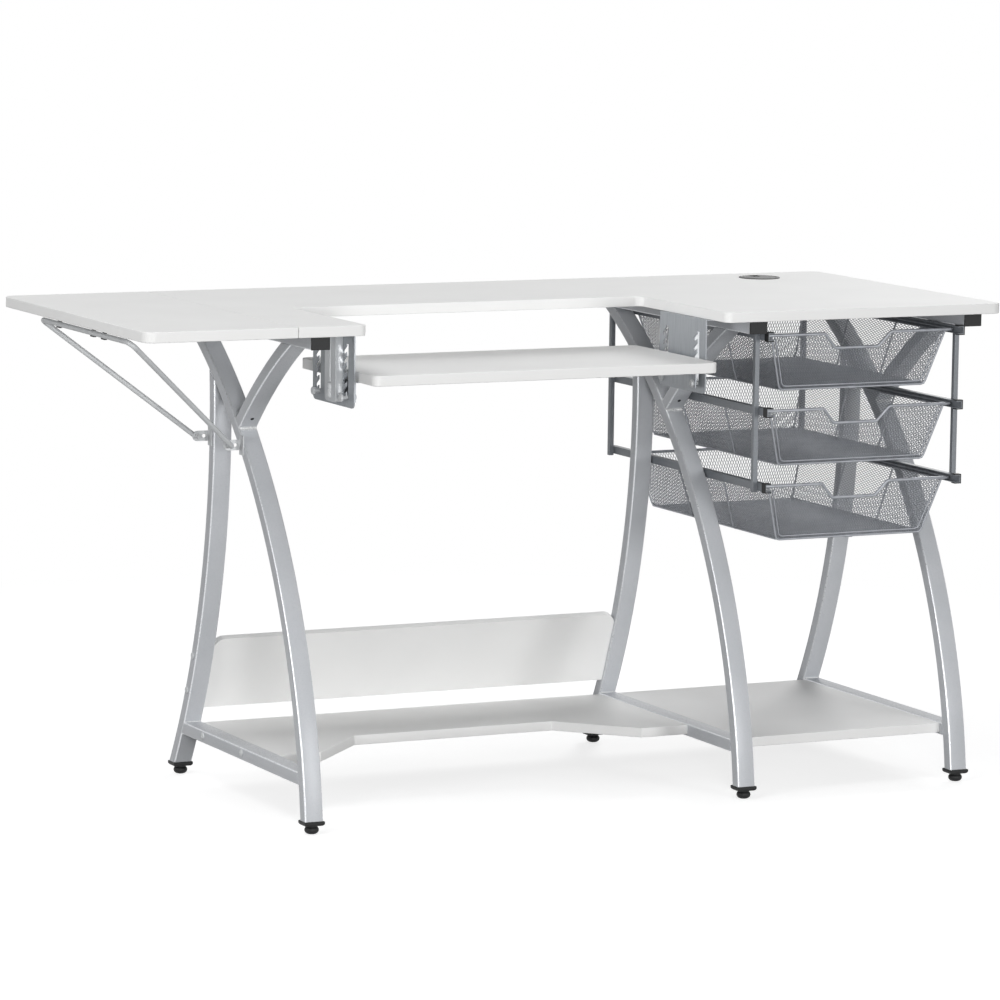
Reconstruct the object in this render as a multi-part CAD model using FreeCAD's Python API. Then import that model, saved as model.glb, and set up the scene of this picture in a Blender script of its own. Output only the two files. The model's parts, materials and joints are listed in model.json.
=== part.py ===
import FreeCAD, Part
import math
import os

os.makedirs("parts", exist_ok=True)
V = FreeCAD.Vector

# Table top, in millimetres. X runs along the table, the front edge looks to -Y, Z is up from the floor.
WIDTH = 1441.0
DEPTH = 597.0
HEIGHT = 762.0
BOARD = 16.0
FLAP_WIDTH = 240.0
SEAM_GAP = 1.0
CORNER_RADIUS = 18.0
OPENING_LEFT = 111.0          # from the seam to the platform opening
OPENING_WIDTH = 599.0
OPENING_DEPTH = 285.0
OPENING_RADIUS = 12.0

# Cable grommet
GROMMET_FROM_RIGHT = 152.0
GROMMET_FROM_REAR = 80.0
GROMMET_RADIUS = 30.0
GROMMET_WALL = 3.0
GROMMET_FLANGE = 4.0
GROMMET_RIM_HEIGHT = 1.5
GROMMET_BELOW = 8.0
GROMMET_SIDES = 36            # flats that stand for the grommet's round
CAP_THICKNESS = 3.0
CAP_LEDGE = 2.5
CAP_GAP = 0.5
CABLE_NOTCH = 16.0

# End frames of bent rectangular tube
LEFT_FRAME_FROM_SEAM = 40.8
MIDDLE_FRAME_FROM_OPENING = 62.4
RIGHT_FRAME_FROM_EDGE = 46.9
TUBE_WIDTH = 30.0
TUBE_DEPTH = 20.0
TUBE_WALL = 1.5
RAIL_INSET = 12.0             # top rail's cap behind the board's edge
FRONT_LEG_FOOT = 32.3         # legs' centre lines behind the front edge: at the foot,
FRONT_LEG_WAIST = 147.5       # at half the table's height
FRONT_LEG_HEAD = 488.2        # and under the top rail
REAR_LEG_FOOT = 550.5
REAR_LEG_WAIST = 412.1
REAR_LEG_HEAD = 396.0
REAR_LEG_DROP = 49.0          # the rear leg's head below the top rail
ARM_MIRROR_Y = 298.9          # the upper arm mirrors the front leg about this line
LOWER_RAIL_Z = 71.0
CAP_PLATE = 3.0
CAP_PLUG = 14.0
PLUG_GAP = 0.3

# Feet
FOOT_CAP_HEIGHT = 7.0
FOOT_CAP_MARGIN = 1.2
GLIDE_RADIUS = 11.0
GLIDE_HEIGHT = 13.0
GLIDE_SHOULDER = 5.0
GLIDE_FLAT = 7.0
GLIDE_SIDES = 20

# Shelves and modesty panel
SHELF = 15.0
SHELF_TOP_Z = 90.0
SHELF_FRONT = 192.0           # from the front edge
SHELF_REAR = 496.0
FOOT_CUT_DEPTH = 108.0
FOOT_CUT_LEFT = 70.0          # straight stretch of the shelf's front beside the left frame
FOOT_CUT_RIGHT = 82.0
FOOT_CUT_SLANT = 104.0
SIDE_SHELF_FRONT = 58.0
MODESTY = 12.0
MODESTY_BOTTOM = 116.0
MODESTY_TOP = 231.0
MODESTY_RADIUS = 18.0
SCREW_RADIUS = 3.0
SCREW_HEAD = 5.5
SCREW_HEAD_TOP = 4.0
SCREW_HEAD_HEIGHT = 2.6
SCREW_BITE = 24.0
HEAD_SIDES = 12               # flats that stand for the round of small heads and shanks
SHANK_SIDES = 8
SCREW_GAP = 0.1
SHELF_SCREW_SPACING = 155.0
MODESTY_SCREW_SPACING = 58.0

# Platform, its toothed brackets and studs
PLATFORM_SIDE_GAP = 12.0
PLATFORM_REAR_GAP = 8.0
PLATFORM_DROP = 76.0
BRACKET_FRONT = 56.7
BRACKET_LENGTH = 152.0
BRACKET_HEIGHT = 115.0
BRACKET_SHEET = 2.0
BRACKET_FLANGE = 22.0
BRACKET_RADIUS = 10.0
BRACKET_INSIDE = 5.5          # inner face inside the opening's edge
STUD_RADIUS = 3.0
STUD_HEAD = 6.0
STUD_HEAD_HEIGHT = 4.0
STUD_NUT = 5.0
STUD_NUT_HEIGHT = 3.5
NUT_SIDES = 6
STUD_UP = 15.0                # stud above the bracket's lower edge at the lowest setting
STUD_FRONT = 25.3             # from the bracket's front edge to the front channel
STUD_SPACING = 102.0
STUD_OUT = 8.0                # bare shank between the bracket and the head
STUD_GAP = 1.0                # stud to the side of its channel
STUD_REST_GAP = 0.3
NOTCHES = 6
NOTCH_PITCH = 15.0
NOTCH_WIDTH = 7.0
NOTCH_REACH = 11.0
NOTCH_DROP = 8.0
STIFFENER_FRONT = 41.0        # from the bracket's front edge
STIFFENER_WIDTH = 40.0
STIFFENER_DEPTH = 12.0
STIFFENER_LIFT = 6.0
STIFFENER_SHEET = 1.5
STIFFENER_RADIUS = 8.0
BOLT_RADIUS = 3.0
BOLT_HEAD = 4.5               # half the width of the bolt's long flat head
BOLT_HEAD_LENGTH = 23.0
BOLT_HEAD_HEIGHT = 4.0
BOLT_UP = 16.0
BOLT_GAP = 0.1
HANGER_SHEET = 2.0
HANGER_DROP = 31.0
HANGER_FLANGE = 22.0
HANGER_MARGIN = 9.0          # hanger plate past the studs, front and rear

# Flap hinges, clips and the bail that props the flap
HINGE_FROM_END = 95.0
HINGE_LENGTH = 40.0
HINGE_LEAF = 25.0
HINGE_SHEET = 2.0
KNUCKLE_RADIUS = 4.0
BARREL_SIDES = 16
KNUCKLE_DROP = 4.4            # hinge axis below the board
KNUCKLE_GAP = 0.5
PIN_RADIUS = 2.0
PIN_RUNNING = 0.05
BAIL_RADIUS = 4.0
BAIL_RUNNING = 0.08
ROD_SIDES = 12                # flats that stand for the round of rods and wires
BEND_STEPS = 3
BAIL_FROM_EDGE = 16.0         # crossbar from the flap's outer edge
BAIL_BELOW = 5.0              # crossbar below the flap
BAIL_FRONT = 100.0            # crossbar's ends, from the front edge
BAIL_REAR = 469.0
BAIL_BEND = 10.0
BAIL_TAIL_BEND = 7.0
BAIL_TAIL = 10.0              # rod past the bracket tab
PIVOT_DROP = 190.0            # bail's pivot below the board
PIVOT_OUT = 20.0              # pivot from the leg's outer face
TAB_SHEET = 2.0
TAB_HEIGHT = 16.0
TAB_SPARE_HOLE = 3.0
TAB_HOLE_PITCH = 11.0
EYE_SIDES = 24
TAB_FLANGE = 15.0
TAB_FLANGE_HEIGHT = 30.0
FRONT_TAB_SHIFT = 2.0         # tab behind the front leg's centre line
REAR_TAB_SHIFT = 9.0
CLIP_PLACES = (218.0, 262.0, 404.0)
CLIP_LENGTH = 14.0
CLIP_WALL = 2.5
CLIP_GAP = 0.4
CLIP_FOOT = 14.0

# Drawer unit: posts, runners and baskets
POST = 8.0
POST_FROM_FRAME = 9.0         # post's outer face from the frame's centre plane
FRONT_POST = 38.0
REAR_POST = 525.0
RUNNER_SHEET = 1.2
RUNNER_WIDTH = 10.0
RUNNER_HEIGHT = 12.0
RUNNER_FRONT = 11.0
RUNNER_REAR = 540.0
STOP_WALL = 1.6
STOP_LENGTH = 11.0
RIM_DROP = 6.0                # uppermost rim below the top rail
LEVEL_PITCH = 117.0
LEVELS = ("upper", "middle", "lower")
RIM_RADIUS = 2.5
RIM_GAP = 0.6                 # rim wire to the runner's web
SEAT_GAP = 0.3                # basket lip above the runner's floor
BASKET_FRONT = 39.0
BASKET_LENGTH = 446.0
BASKET_HEIGHT = 86.0
BASKET_LIP = 14.0
BASKET_SIDE_TAPER = 25.0
BASKET_END_TAPER = 18.0
BASKET_SHEET = 1.2
DIP_TOP = 117.0
DIP_BOTTOM = 77.0
DIP_DEPTH = 23.0
POST_FOOT = 8.0               # post below the lowest rim

# Places worked out from the driving dimensions
FRONT = -DEPTH / 2
REAR = DEPTH / 2
LEFT = -WIDTH / 2
RIGHT = WIDTH / 2
SEAM = LEFT + FLAP_WIDTH
UNDER = HEIGHT - BOARD
RAIL_UNDER = UNDER - TUBE_DEPTH
FOOT = FOOT_CAP_HEIGHT + GLIDE_HEIGHT
LEFT_FRAME = SEAM + LEFT_FRAME_FROM_SEAM
OPEN_X0 = SEAM + OPENING_LEFT
OPEN_X1 = OPEN_X0 + OPENING_WIDTH
MIDDLE_FRAME = OPEN_X1 + MIDDLE_FRAME_FROM_OPENING
RIGHT_FRAME = RIGHT - RIGHT_FRAME_FROM_EDGE
FRAMES = {"left": LEFT_FRAME, "middle": MIDDLE_FRAME, "right": RIGHT_FRAME}
HALF = TUBE_WIDTH / 2
OPEN_MID = (OPEN_X0 + OPEN_X1) / 2
OPEN_REAR = FRONT + OPENING_DEPTH
PIVOT_Z = UNDER - PIVOT_DROP
RIM_TOP_Z = RAIL_UNDER - RIM_DROP
X_AXIS = V(1, 0, 0)
Y_AXIS = V(0, 1, 0)
Z_AXIS = V(0, 0, 1)


def save(name, *solids):
    """Write one node: a single solid, or a group of separate solids."""
    shape = solids[0] if len(solids) == 1 else Part.makeCompound(list(solids))
    shape.exportStep("parts/" + name + ".step")


def box(x0, x1, y0, y1, z0, z1):
    return Part.makeBox(x1 - x0, y1 - y0, z1 - z0, V(x0, y0, z0))


def rod(radius, start, axis, length):
    return Part.makeCylinder(radius, length, start, axis)


def slab(points, z0, thickness):
    """Upright prism on an outline in the XY plane."""
    wire = Part.makePolygon([V(x, y, z0) for x, y in points] + [V(points[0][0], points[0][1], z0)])
    return Part.Face(wire).extrude(V(0, 0, thickness))


def round_corners(solid, corners, radius, axis=Z_AXIS):
    """Fillet the edges along axis that pass through the given points."""
    edges = []
    for edge in solid.Edges:
        start, end = edge.Vertexes[0].Point, edge.Vertexes[-1].Point
        if (end - start).cross(axis).Length > 1e-6:
            continue
        for corner in corners:
            if (start - corner).cross(axis).Length < 1e-4:
                edges.append(edge)
                break
    return solid.makeFillet(radius, edges)


def flat(points):
    return Part.Face(Part.makePolygon(list(points) + [points[0]]))


def ring(sides, radius, centre, axis):
    """Corners of a regular polygon about an axis."""
    across = X_AXIS if abs(axis.z) > 0.5 else Z_AXIS
    along = axis.cross(across)
    turns = [2 * math.pi * i / sides for i in range(sides)]
    return [centre + across * (radius * math.cos(a)) + along * (radius * math.sin(a)) for a in turns]


def frustum(lower, upper):
    """Solid with flat sides between two outlines of as many corners."""
    faces = [flat(lower[::-1]), flat(upper)]
    for i in range(len(lower)):
        faces.append(flat([lower[i - 1], lower[i], upper[i], upper[i - 1]]))
    return Part.makeSolid(Part.makeShell(faces))


def bar(sides, radius, start, axis, length):
    """Prism with a few flats, for fasteners too small to need a round."""
    return flat(ring(sides, radius, start, axis)).extrude(axis * length)


def circle_through(first, second, third):
    """Centre and radius, in a side view, of the arc through three (y, z) points."""
    circle = Part.Circle(*[V(0, y, z) for y, z in (first, second, third)])
    return circle.Center.y, circle.Center.z, circle.Radius


LEG_Y, LEG_Z, FRONT_LEG_RADIUS = circle_through(
    (FRONT + FRONT_LEG_FOOT, FOOT), (FRONT + FRONT_LEG_WAIST, HEIGHT / 2), (FRONT + FRONT_LEG_HEAD, RAIL_UNDER))
BACK_Y, BACK_Z, REAR_LEG_RADIUS = circle_through(
    (FRONT + REAR_LEG_FOOT, FOOT), (FRONT + REAR_LEG_WAIST, HEIGHT / 2),
    (FRONT + REAR_LEG_HEAD, RAIL_UNDER - REAR_LEG_DROP))
ARM_Y = 2 * (FRONT + ARM_MIRROR_Y) - LEG_Y


def leg_y(z):
    """Front leg's centre line."""
    return LEG_Y - math.sqrt(FRONT_LEG_RADIUS ** 2 - (z - LEG_Z) ** 2)


def back_y(z):
    """Rear leg's centre line."""
    return BACK_Y - math.sqrt(REAR_LEG_RADIUS ** 2 - (z - BACK_Z) ** 2)


# Table top: one board round the platform opening, and the flap beside it
GROMMET = V(RIGHT - GROMMET_FROM_RIGHT, REAR - GROMMET_FROM_REAR, HEIGHT)


def make_tops():
    seam = SEAM + SEAM_GAP / 2
    outline = [(seam, FRONT), (OPEN_X0, FRONT), (OPEN_X0, OPEN_REAR), (OPEN_X1, OPEN_REAR),
               (OPEN_X1, FRONT), (RIGHT, FRONT), (RIGHT, REAR), (seam, REAR)]
    top = slab(outline, UNDER, BOARD)
    top = round_corners(top, [V(RIGHT, FRONT, UNDER), V(RIGHT, REAR, UNDER)], CORNER_RADIUS)
    top = round_corners(top, [V(x, y, UNDER) for x in (OPEN_X0, OPEN_X1) for y in (FRONT, OPEN_REAR)],
                        OPENING_RADIUS)
    bore = rod(GROMMET_RADIUS + PLUG_GAP, GROMMET - Z_AXIS * BOARD, Z_AXIS, BOARD)
    save("main_top", top.cut(bore))
    edge = SEAM - SEAM_GAP / 2
    flap = slab([(LEFT, FRONT), (edge, FRONT), (edge, REAR), (LEFT, REAR)], UNDER, BOARD)
    save("flap", round_corners(flap, [V(LEFT, FRONT, UNDER), V(LEFT, REAR, UNDER)], CORNER_RADIUS))


def make_grommet():
    """Flanged sleeve with an inner ledge, and a loose cap with a notch for cables."""
    inner = GROMMET_RADIUS - GROMMET_WALL
    foot = GROMMET - Z_AXIS * (BOARD + GROMMET_BELOW)
    sides = GROMMET_SIDES
    sleeve = bar(sides, GROMMET_RADIUS, foot, Z_AXIS, BOARD + GROMMET_BELOW)
    flange = bar(sides, GROMMET_RADIUS + GROMMET_FLANGE, GROMMET, Z_AXIS, GROMMET_RIM_HEIGHT)
    ledge = GROMMET + Z_AXIS * (GROMMET_RIM_HEIGHT - CAP_THICKNESS)
    sleeve = sleeve.fuse(flange).cut(bar(sides, inner - CAP_LEDGE, foot, Z_AXIS, BOARD + 2 * GROMMET_BELOW))
    sleeve = sleeve.cut(bar(sides, inner, ledge, Z_AXIS, CAP_THICKNESS))
    save("grommet_sleeve", sleeve.removeSplitter())
    cap = bar(sides, inner - CAP_GAP, ledge, Z_AXIS, CAP_THICKNESS)
    half = CABLE_NOTCH / 2
    slot = bar(HEAD_SIDES, half, ledge + V(0, inner / 2, 0), Z_AXIS, CAP_THICKNESS)
    slot = slot.fuse(box(GROMMET.x - half, GROMMET.x + half, GROMMET.y + inner / 2, GROMMET.y + inner,
                         ledge.z, ledge.z + CAP_THICKNESS))
    save("grommet_cap", cap.cut(slot))


# End frames: every tube is a bent or straight length of hollow rectangular section
def arc_tube(x, y, z, radius):
    """Full ring of rectangular tube about an axis along X."""
    def ring(width, depth):
        outer = rod(radius + depth / 2, V(x - width / 2, y, z), X_AXIS, width)
        return outer.cut(rod(radius - depth / 2, V(x - width / 2, y, z), X_AXIS, width))
    wall = 2 * TUBE_WALL
    return ring(TUBE_WIDTH, TUBE_DEPTH).cut(ring(TUBE_WIDTH - wall, TUBE_DEPTH - wall))


def straight_tube(x, y0, y1, z0):
    wall = TUBE_WALL
    outer = box(x - HALF, x + HALF, y0, y1, z0, z0 + TUBE_DEPTH)
    inner = box(x - HALF + wall, x + HALF - wall, y0, y1, z0 + wall, z0 + TUBE_DEPTH - wall)
    return outer.cut(inner)


def leg_drum(x, offset):
    """Cylinder bounded by the front leg's outer or inner curve."""
    return rod(FRONT_LEG_RADIUS + offset, V(x - TUBE_WIDTH, LEG_Y, LEG_Z), X_AXIS, 2 * TUBE_WIDTH)


def back_drum(x, offset):
    return rod(REAR_LEG_RADIUS + offset, V(x - TUBE_WIDTH, BACK_Y, BACK_Z), X_AXIS, 2 * TUBE_WIDTH)


def screw_places():
    """Each screw's point on the outer face, its direction and its length."""
    shelf_mid = FRONT + (SHELF_FRONT + SHELF_REAR) / 2
    shelf_z = SHELF_TOP_Z - SHELF / 2
    panel_z = (MODESTY_BOTTOM + MODESTY_TOP) / 2
    side_mid = FRONT + (SIDE_SHELF_FRONT + SHELF_REAR) / 2
    places = []
    for side in (-0.5, 0.5):
        places.append((V(LEFT_FRAME - HALF, shelf_mid + side * SHELF_SCREW_SPACING, shelf_z), X_AXIS))
        z = panel_z + side * MODESTY_SCREW_SPACING
        places.append((V(LEFT_FRAME - HALF, modesty_y(z), z), X_AXIS))
        places.append((V(RIGHT_FRAME + HALF, side_mid + side * SHELF_SCREW_SPACING, shelf_z), -X_AXIS))
    return places


def drill(solid):
    """Clearance holes for the panel screws that reach this solid."""
    for start, axis in screw_places():
        hole = bar(SHANK_SIDES, SCREW_RADIUS + SCREW_GAP, start, axis, TUBE_WIDTH + SCREW_BITE + SCREW_GAP)
        if hole.BoundBox.intersect(solid.BoundBox):
            solid = solid.cut(hole)
    return solid


def make_frame(side, x):
    half = TUBE_DEPTH / 2
    span = box(x - HALF, x + HALF, FRONT, LEG_Y, FOOT, RAIL_UNDER)
    save(side + "_front_leg", arc_tube(x, LEG_Y, LEG_Z, FRONT_LEG_RADIUS).common(span))
    back = arc_tube(x, BACK_Y, BACK_Z, REAR_LEG_RADIUS).common(span).common(leg_drum(x, -half))
    save(side + "_rear_leg", drill(back))
    above = box(x - HALF, x + HALF, FRONT, LEG_Y, LOWER_RAIL_Z + TUBE_DEPTH, RAIL_UNDER)
    arm = arc_tube(x, ARM_Y, LEG_Z, FRONT_LEG_RADIUS).common(above).cut(leg_drum(x, half))
    save(side + "_upper_arm", arm)
    low = straight_tube(x, FRONT, REAR, LOWER_RAIL_Z)
    save(side + "_lower_rail", drill(low.common(leg_drum(x, -half)).cut(back_drum(x, half))))
    inset = RAIL_INSET + CAP_PLATE
    save(side + "_top_rail", straight_tube(x, FRONT + inset, REAR - inset, RAIL_UNDER))


def end_cap(x, y, out):
    """Plug cap for a top rail's end; out is the direction it faces."""
    inner = TUBE_WALL + PLUG_GAP
    plate = box(x - HALF, x + HALF, min(y, y + out * CAP_PLATE), max(y, y + out * CAP_PLATE),
                RAIL_UNDER, UNDER)
    depth = y - out * CAP_PLUG
    plug = box(x - HALF + inner, x + HALF - inner, min(y, depth), max(y, depth),
               RAIL_UNDER + inner, UNDER - inner)
    return plate.fuse(plug).removeSplitter()


def foot_cap(x, y):
    half_y = TUBE_DEPTH / 2 + 3 * FOOT_CAP_MARGIN
    half_x = HALF + FOOT_CAP_MARGIN
    cap = box(x - half_x, x + half_x, y - half_y, y + half_y, GLIDE_HEIGHT, FOOT)
    lower = [edge for edge in cap.Edges if edge.BoundBox.ZMax < GLIDE_HEIGHT + FOOT_CAP_HEIGHT / 2]
    return cap.makeChamfer(2 * FOOT_CAP_MARGIN, lower)


def glide(x, y):
    """Domed foot: a skirt and a shoulder that draw in to a flat."""
    shoulder = ring(GLIDE_SIDES, GLIDE_RADIUS, V(x, y, GLIDE_SHOULDER), Z_AXIS)
    skirt = flat(shoulder).extrude(Z_AXIS * (GLIDE_HEIGHT - GLIDE_SHOULDER))
    return skirt.fuse(frustum(ring(GLIDE_SIDES, GLIDE_FLAT, V(x, y, 0), Z_AXIS), shoulder))


def make_frames():
    caps, shoes, glides = [], [], []
    inset = RAIL_INSET + CAP_PLATE
    for side, x in FRAMES.items():
        make_frame(side, x)
        caps += [end_cap(x, FRONT + inset, -1), end_cap(x, REAR - inset, 1)]
        for y in (leg_y(FOOT), back_y(FOOT)):
            shoes.append(foot_cap(x, y))
            glides.append(glide(x, y))
    save("rail_end_caps", *caps)
    save("foot_caps", *shoes)
    save("foot_glides", *glides)


# Shelves, modesty panel and the screws that hold them
def modesty_y(z):
    """Middle plane of the modesty panel, along the rear legs' chord."""
    top, bottom = back_y(MODESTY_TOP), back_y(MODESTY_BOTTOM)
    return bottom + (top - bottom) * (z - MODESTY_BOTTOM) / (MODESTY_TOP - MODESTY_BOTTOM)


def make_panels():
    x0, x1 = LEFT_FRAME + HALF, MIDDLE_FRAME - HALF
    front, rear = FRONT + SHELF_FRONT, FRONT + SHELF_REAR
    cut = front + FOOT_CUT_DEPTH
    outline = [(x0, front), (x0 + FOOT_CUT_LEFT, front), (x0 + FOOT_CUT_LEFT + FOOT_CUT_SLANT, cut),
               (x1 - FOOT_CUT_RIGHT - FOOT_CUT_SLANT, cut), (x1 - FOOT_CUT_RIGHT, front), (x1, front),
               (x1, rear), (x0, rear)]
    save("bottom_shelf", drill(slab(outline, SHELF_TOP_Z - SHELF, SHELF)))
    side = box(MIDDLE_FRAME + HALF, RIGHT_FRAME - HALF, FRONT + SIDE_SHELF_FRONT, rear,
               SHELF_TOP_Z - SHELF, SHELF_TOP_Z)
    save("side_shelf", drill(side))
    foot = V(x0, back_y(MODESTY_BOTTOM), MODESTY_BOTTOM)
    head = V(x0, back_y(MODESTY_TOP), MODESTY_TOP)
    normal = (head - foot).cross(X_AXIS).normalize()
    half = normal * (MODESTY / 2)
    wire = Part.makePolygon([foot - half, foot + half, head + half, head - half, foot - half])
    panel = Part.Face(wire).extrude(X_AXIS * (x1 - x0))
    panel = round_corners(panel, [head, head + X_AXIS * (x1 - x0)], MODESTY_RADIUS, normal)
    save("modesty_panel", drill(panel))
    save("panel_screws", *[panel_screw(start, axis) for start, axis in screw_places()])


def panel_screw(start, axis):
    crown = ring(HEAD_SIDES, SCREW_HEAD_TOP, start - axis * SCREW_HEAD_HEIGHT, axis)
    head = frustum(crown, ring(HEAD_SIDES, SCREW_HEAD, start, axis))
    return head.fuse(bar(SHANK_SIDES, SCREW_RADIUS, start, axis, TUBE_WIDTH + SCREW_BITE))


# Platform with its hangers and studs, and the toothed brackets that carry it
PLATE_X = OPEN_X0 + BRACKET_INSIDE                  # left bracket's inner face
BRACKET_Y = FRONT + BRACKET_FRONT
BRACKET_Z = UNDER - BRACKET_HEIGHT
STUD_Z = BRACKET_Z + STUD_UP
STUD_YS = (BRACKET_Y + STUD_FRONT, BRACKET_Y + STUD_FRONT + STUD_SPACING)
PLATFORM_TOP = HEIGHT - PLATFORM_DROP
PLATFORM_X0 = OPEN_X0 + PLATFORM_SIDE_GAP
HANGER_Z = PLATFORM_TOP - BOARD


def opposite(shape):
    """The same piece on the other side of the opening."""
    return shape.mirror(V(OPEN_MID, 0, 0), X_AXIS)


def toothed_slot(y):
    """Upright channel with slanted notches that drop to the rear."""
    reach = BRACKET_SHEET * 3
    x = PLATE_X - BRACKET_SHEET - reach / 2
    half = STUD_RADIUS + STUD_GAP
    low = STUD_Z - STUD_RADIUS - STUD_REST_GAP
    slot = box(x, x + reach, y - half, y + half, low, STUD_Z + PLATFORM_DROP + half)
    for step in range(1, NOTCHES):
        z = STUD_Z + step * NOTCH_PITCH - NOTCH_DROP
        tip = V(x, y + NOTCH_REACH, z)
        mouth = V(x, y, z + NOTCH_DROP)
        run = (tip - mouth).normalize()
        side = run.cross(X_AXIS) * (NOTCH_WIDTH / 2)
        wire = Part.makePolygon([mouth - side, tip - side, tip + side, mouth + side, mouth - side])
        slot = slot.fuse(Part.Face(wire).extrude(X_AXIS * reach))
        slot = slot.fuse(bar(HEAD_SIDES, NOTCH_WIDTH / 2, tip, X_AXIS, reach))
    return slot


def make_brackets():
    end = BRACKET_Y + BRACKET_LENGTH
    plate = box(PLATE_X - BRACKET_SHEET, PLATE_X, BRACKET_Y, end, BRACKET_Z, UNDER)
    plate = round_corners(plate, [V(PLATE_X, BRACKET_Y, BRACKET_Z), V(PLATE_X, end, BRACKET_Z)],
                          BRACKET_RADIUS, X_AXIS)
    for y in STUD_YS:
        plate = plate.cut(toothed_slot(y))
    flange = box(PLATE_X - BRACKET_FLANGE, PLATE_X, BRACKET_Y, end, UNDER - BRACKET_SHEET, UNDER)
    plate = plate.fuse(flange).removeSplitter()
    save("left_slot_bracket", plate)
    save("right_slot_bracket", opposite(plate))
    make_stiffeners()


def make_stiffeners():
    """U-channel on each bracket's outer face, with a bolt through its floor."""
    face = PLATE_X - BRACKET_SHEET
    y0 = BRACKET_Y + STIFFENER_FRONT
    y1 = y0 + STIFFENER_WIDTH
    z0, z1 = BRACKET_Z + STIFFENER_LIFT, UNDER - BRACKET_SHEET
    sheet = STIFFENER_SHEET
    outer = box(face - STIFFENER_DEPTH, face, y0, y1, z0, z1)
    rim = face - STIFFENER_DEPTH
    outer = round_corners(outer, [V(rim, y0, z0), V(rim, y1, z0)], STIFFENER_RADIUS, X_AXIS)
    inner = box(face - STIFFENER_DEPTH + sheet, face, y0 + sheet, y1 - sheet, z0 + sheet, z1)
    inner = round_corners(inner, [V(rim, y0 + sheet, z0 + sheet), V(rim, y1 - sheet, z0 + sheet)],
                          STIFFENER_RADIUS - sheet, X_AXIS)
    channel = outer.cut(inner)
    foot = V(rim, (y0 + y1) / 2, z0 + BOLT_UP)
    channel = channel.cut(bar(SHANK_SIDES, BOLT_RADIUS + BOLT_GAP, foot, X_AXIS, sheet))
    lift = Z_AXIS * (BOLT_HEAD_LENGTH / 2 - BOLT_HEAD)
    ends = ring(HEAD_SIDES, BOLT_HEAD, foot - X_AXIS * BOLT_HEAD_HEIGHT, X_AXIS)
    pad = flat([p + (lift if p.z > foot.z - 0.001 else -lift) for p in ends])
    bolt = pad.extrude(X_AXIS * BOLT_HEAD_HEIGHT).fuse(bar(SHANK_SIDES, BOLT_RADIUS, foot, X_AXIS, STIFFENER_DEPTH))
    save("left_bracket_channel", channel)
    save("right_bracket_channel", opposite(channel))
    save("channel_bolts", bolt, opposite(bolt))


def make_platform():
    y1 = OPEN_REAR - PLATFORM_REAR_GAP
    x1 = 2 * OPEN_MID - PLATFORM_X0
    board = box(PLATFORM_X0, x1, FRONT, y1, HANGER_Z, PLATFORM_TOP)
    corners = [V(x, y, HANGER_Z) for x in (PLATFORM_X0, x1) for y in (FRONT, y1)]
    save("platform_board", round_corners(board, corners, OPENING_RADIUS))
    front, rear = STUD_YS[0] - HANGER_MARGIN, STUD_YS[1] + HANGER_MARGIN
    web = box(PLATFORM_X0, PLATFORM_X0 + HANGER_SHEET, front, rear, HANGER_Z - HANGER_DROP, HANGER_Z)
    flange = box(PLATFORM_X0, PLATFORM_X0 + HANGER_FLANGE, front, rear, HANGER_Z - HANGER_SHEET, HANGER_Z)
    hanger = web.fuse(flange).removeSplitter()
    studs = []
    for y in STUD_YS:
        start = V(PLATFORM_X0, y, STUD_Z)
        hanger = hanger.cut(bar(HEAD_SIDES, STUD_RADIUS + BOLT_GAP, start, X_AXIS, HANGER_SHEET))
        outside = PLATE_X - BRACKET_SHEET - STUD_OUT
        reach = PLATFORM_X0 + HANGER_SHEET - outside
        shank = bar(HEAD_SIDES, STUD_RADIUS, V(outside, y, STUD_Z), X_AXIS, reach)
        head = bar(HEAD_SIDES, STUD_HEAD, V(outside - STUD_HEAD_HEIGHT, y, STUD_Z), X_AXIS, STUD_HEAD_HEIGHT)
        nut = bar(NUT_SIDES, STUD_NUT, start + X_AXIS * HANGER_SHEET, X_AXIS, STUD_NUT_HEIGHT)
        studs.append(shank.fuse(head).fuse(nut))
    save("left_platform_hanger", hanger)
    save("right_platform_hanger", opposite(hanger))
    save("platform_studs", *studs, *[opposite(stud) for stud in studs])


# Flap hinges, clips and bail
AXIS_Z = UNDER - KNUCKLE_DROP


def make_hinges():
    """Butt hinges under the seam, with a knuckle on each leaf."""
    table, flap, pins = [], [], []
    for y0 in (FRONT + HINGE_FROM_END, REAR - HINGE_FROM_END - HINGE_LENGTH):
        split = y0 + HINGE_LENGTH / 2
        table.append(hinge_leaf(y0, (y0, split - KNUCKLE_GAP / 2), 1, PIN_RADIUS))
        flap.append(hinge_leaf(y0, (split + KNUCKLE_GAP / 2, y0 + HINGE_LENGTH), -1, PIN_RADIUS + PIN_RUNNING))
        pins.append(rod(PIN_RADIUS, V(SEAM, y0, AXIS_Z), Y_AXIS, HINGE_LENGTH))
    save("table_hinge_leaves", *table)
    save("flap_hinge_leaves", *flap)
    save("hinge_pins", *pins)


def hinge_leaf(y0, knuckle, side, bore):
    clear = KNUCKLE_RADIUS + KNUCKLE_GAP
    near, far = sorted((SEAM + side * clear, SEAM + side * HINGE_LEAF))
    leaf = box(near, far, y0, y0 + HINGE_LENGTH, UNDER - HINGE_SHEET, UNDER)
    start, end = knuckle
    near, far = sorted((SEAM + side * PIN_RADIUS, SEAM + side * (clear + HINGE_SHEET)))
    neck = box(near, far, start, end, UNDER - HINGE_SHEET, UNDER - KNUCKLE_GAP)
    barrel = bar(BARREL_SIDES, KNUCKLE_RADIUS, V(SEAM, start, AXIS_Z), Y_AXIS, end - start)
    return leaf.fuse(neck).fuse(barrel).cut(rod(bore, V(SEAM, start, AXIS_Z), Y_AXIS, end - start))


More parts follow.
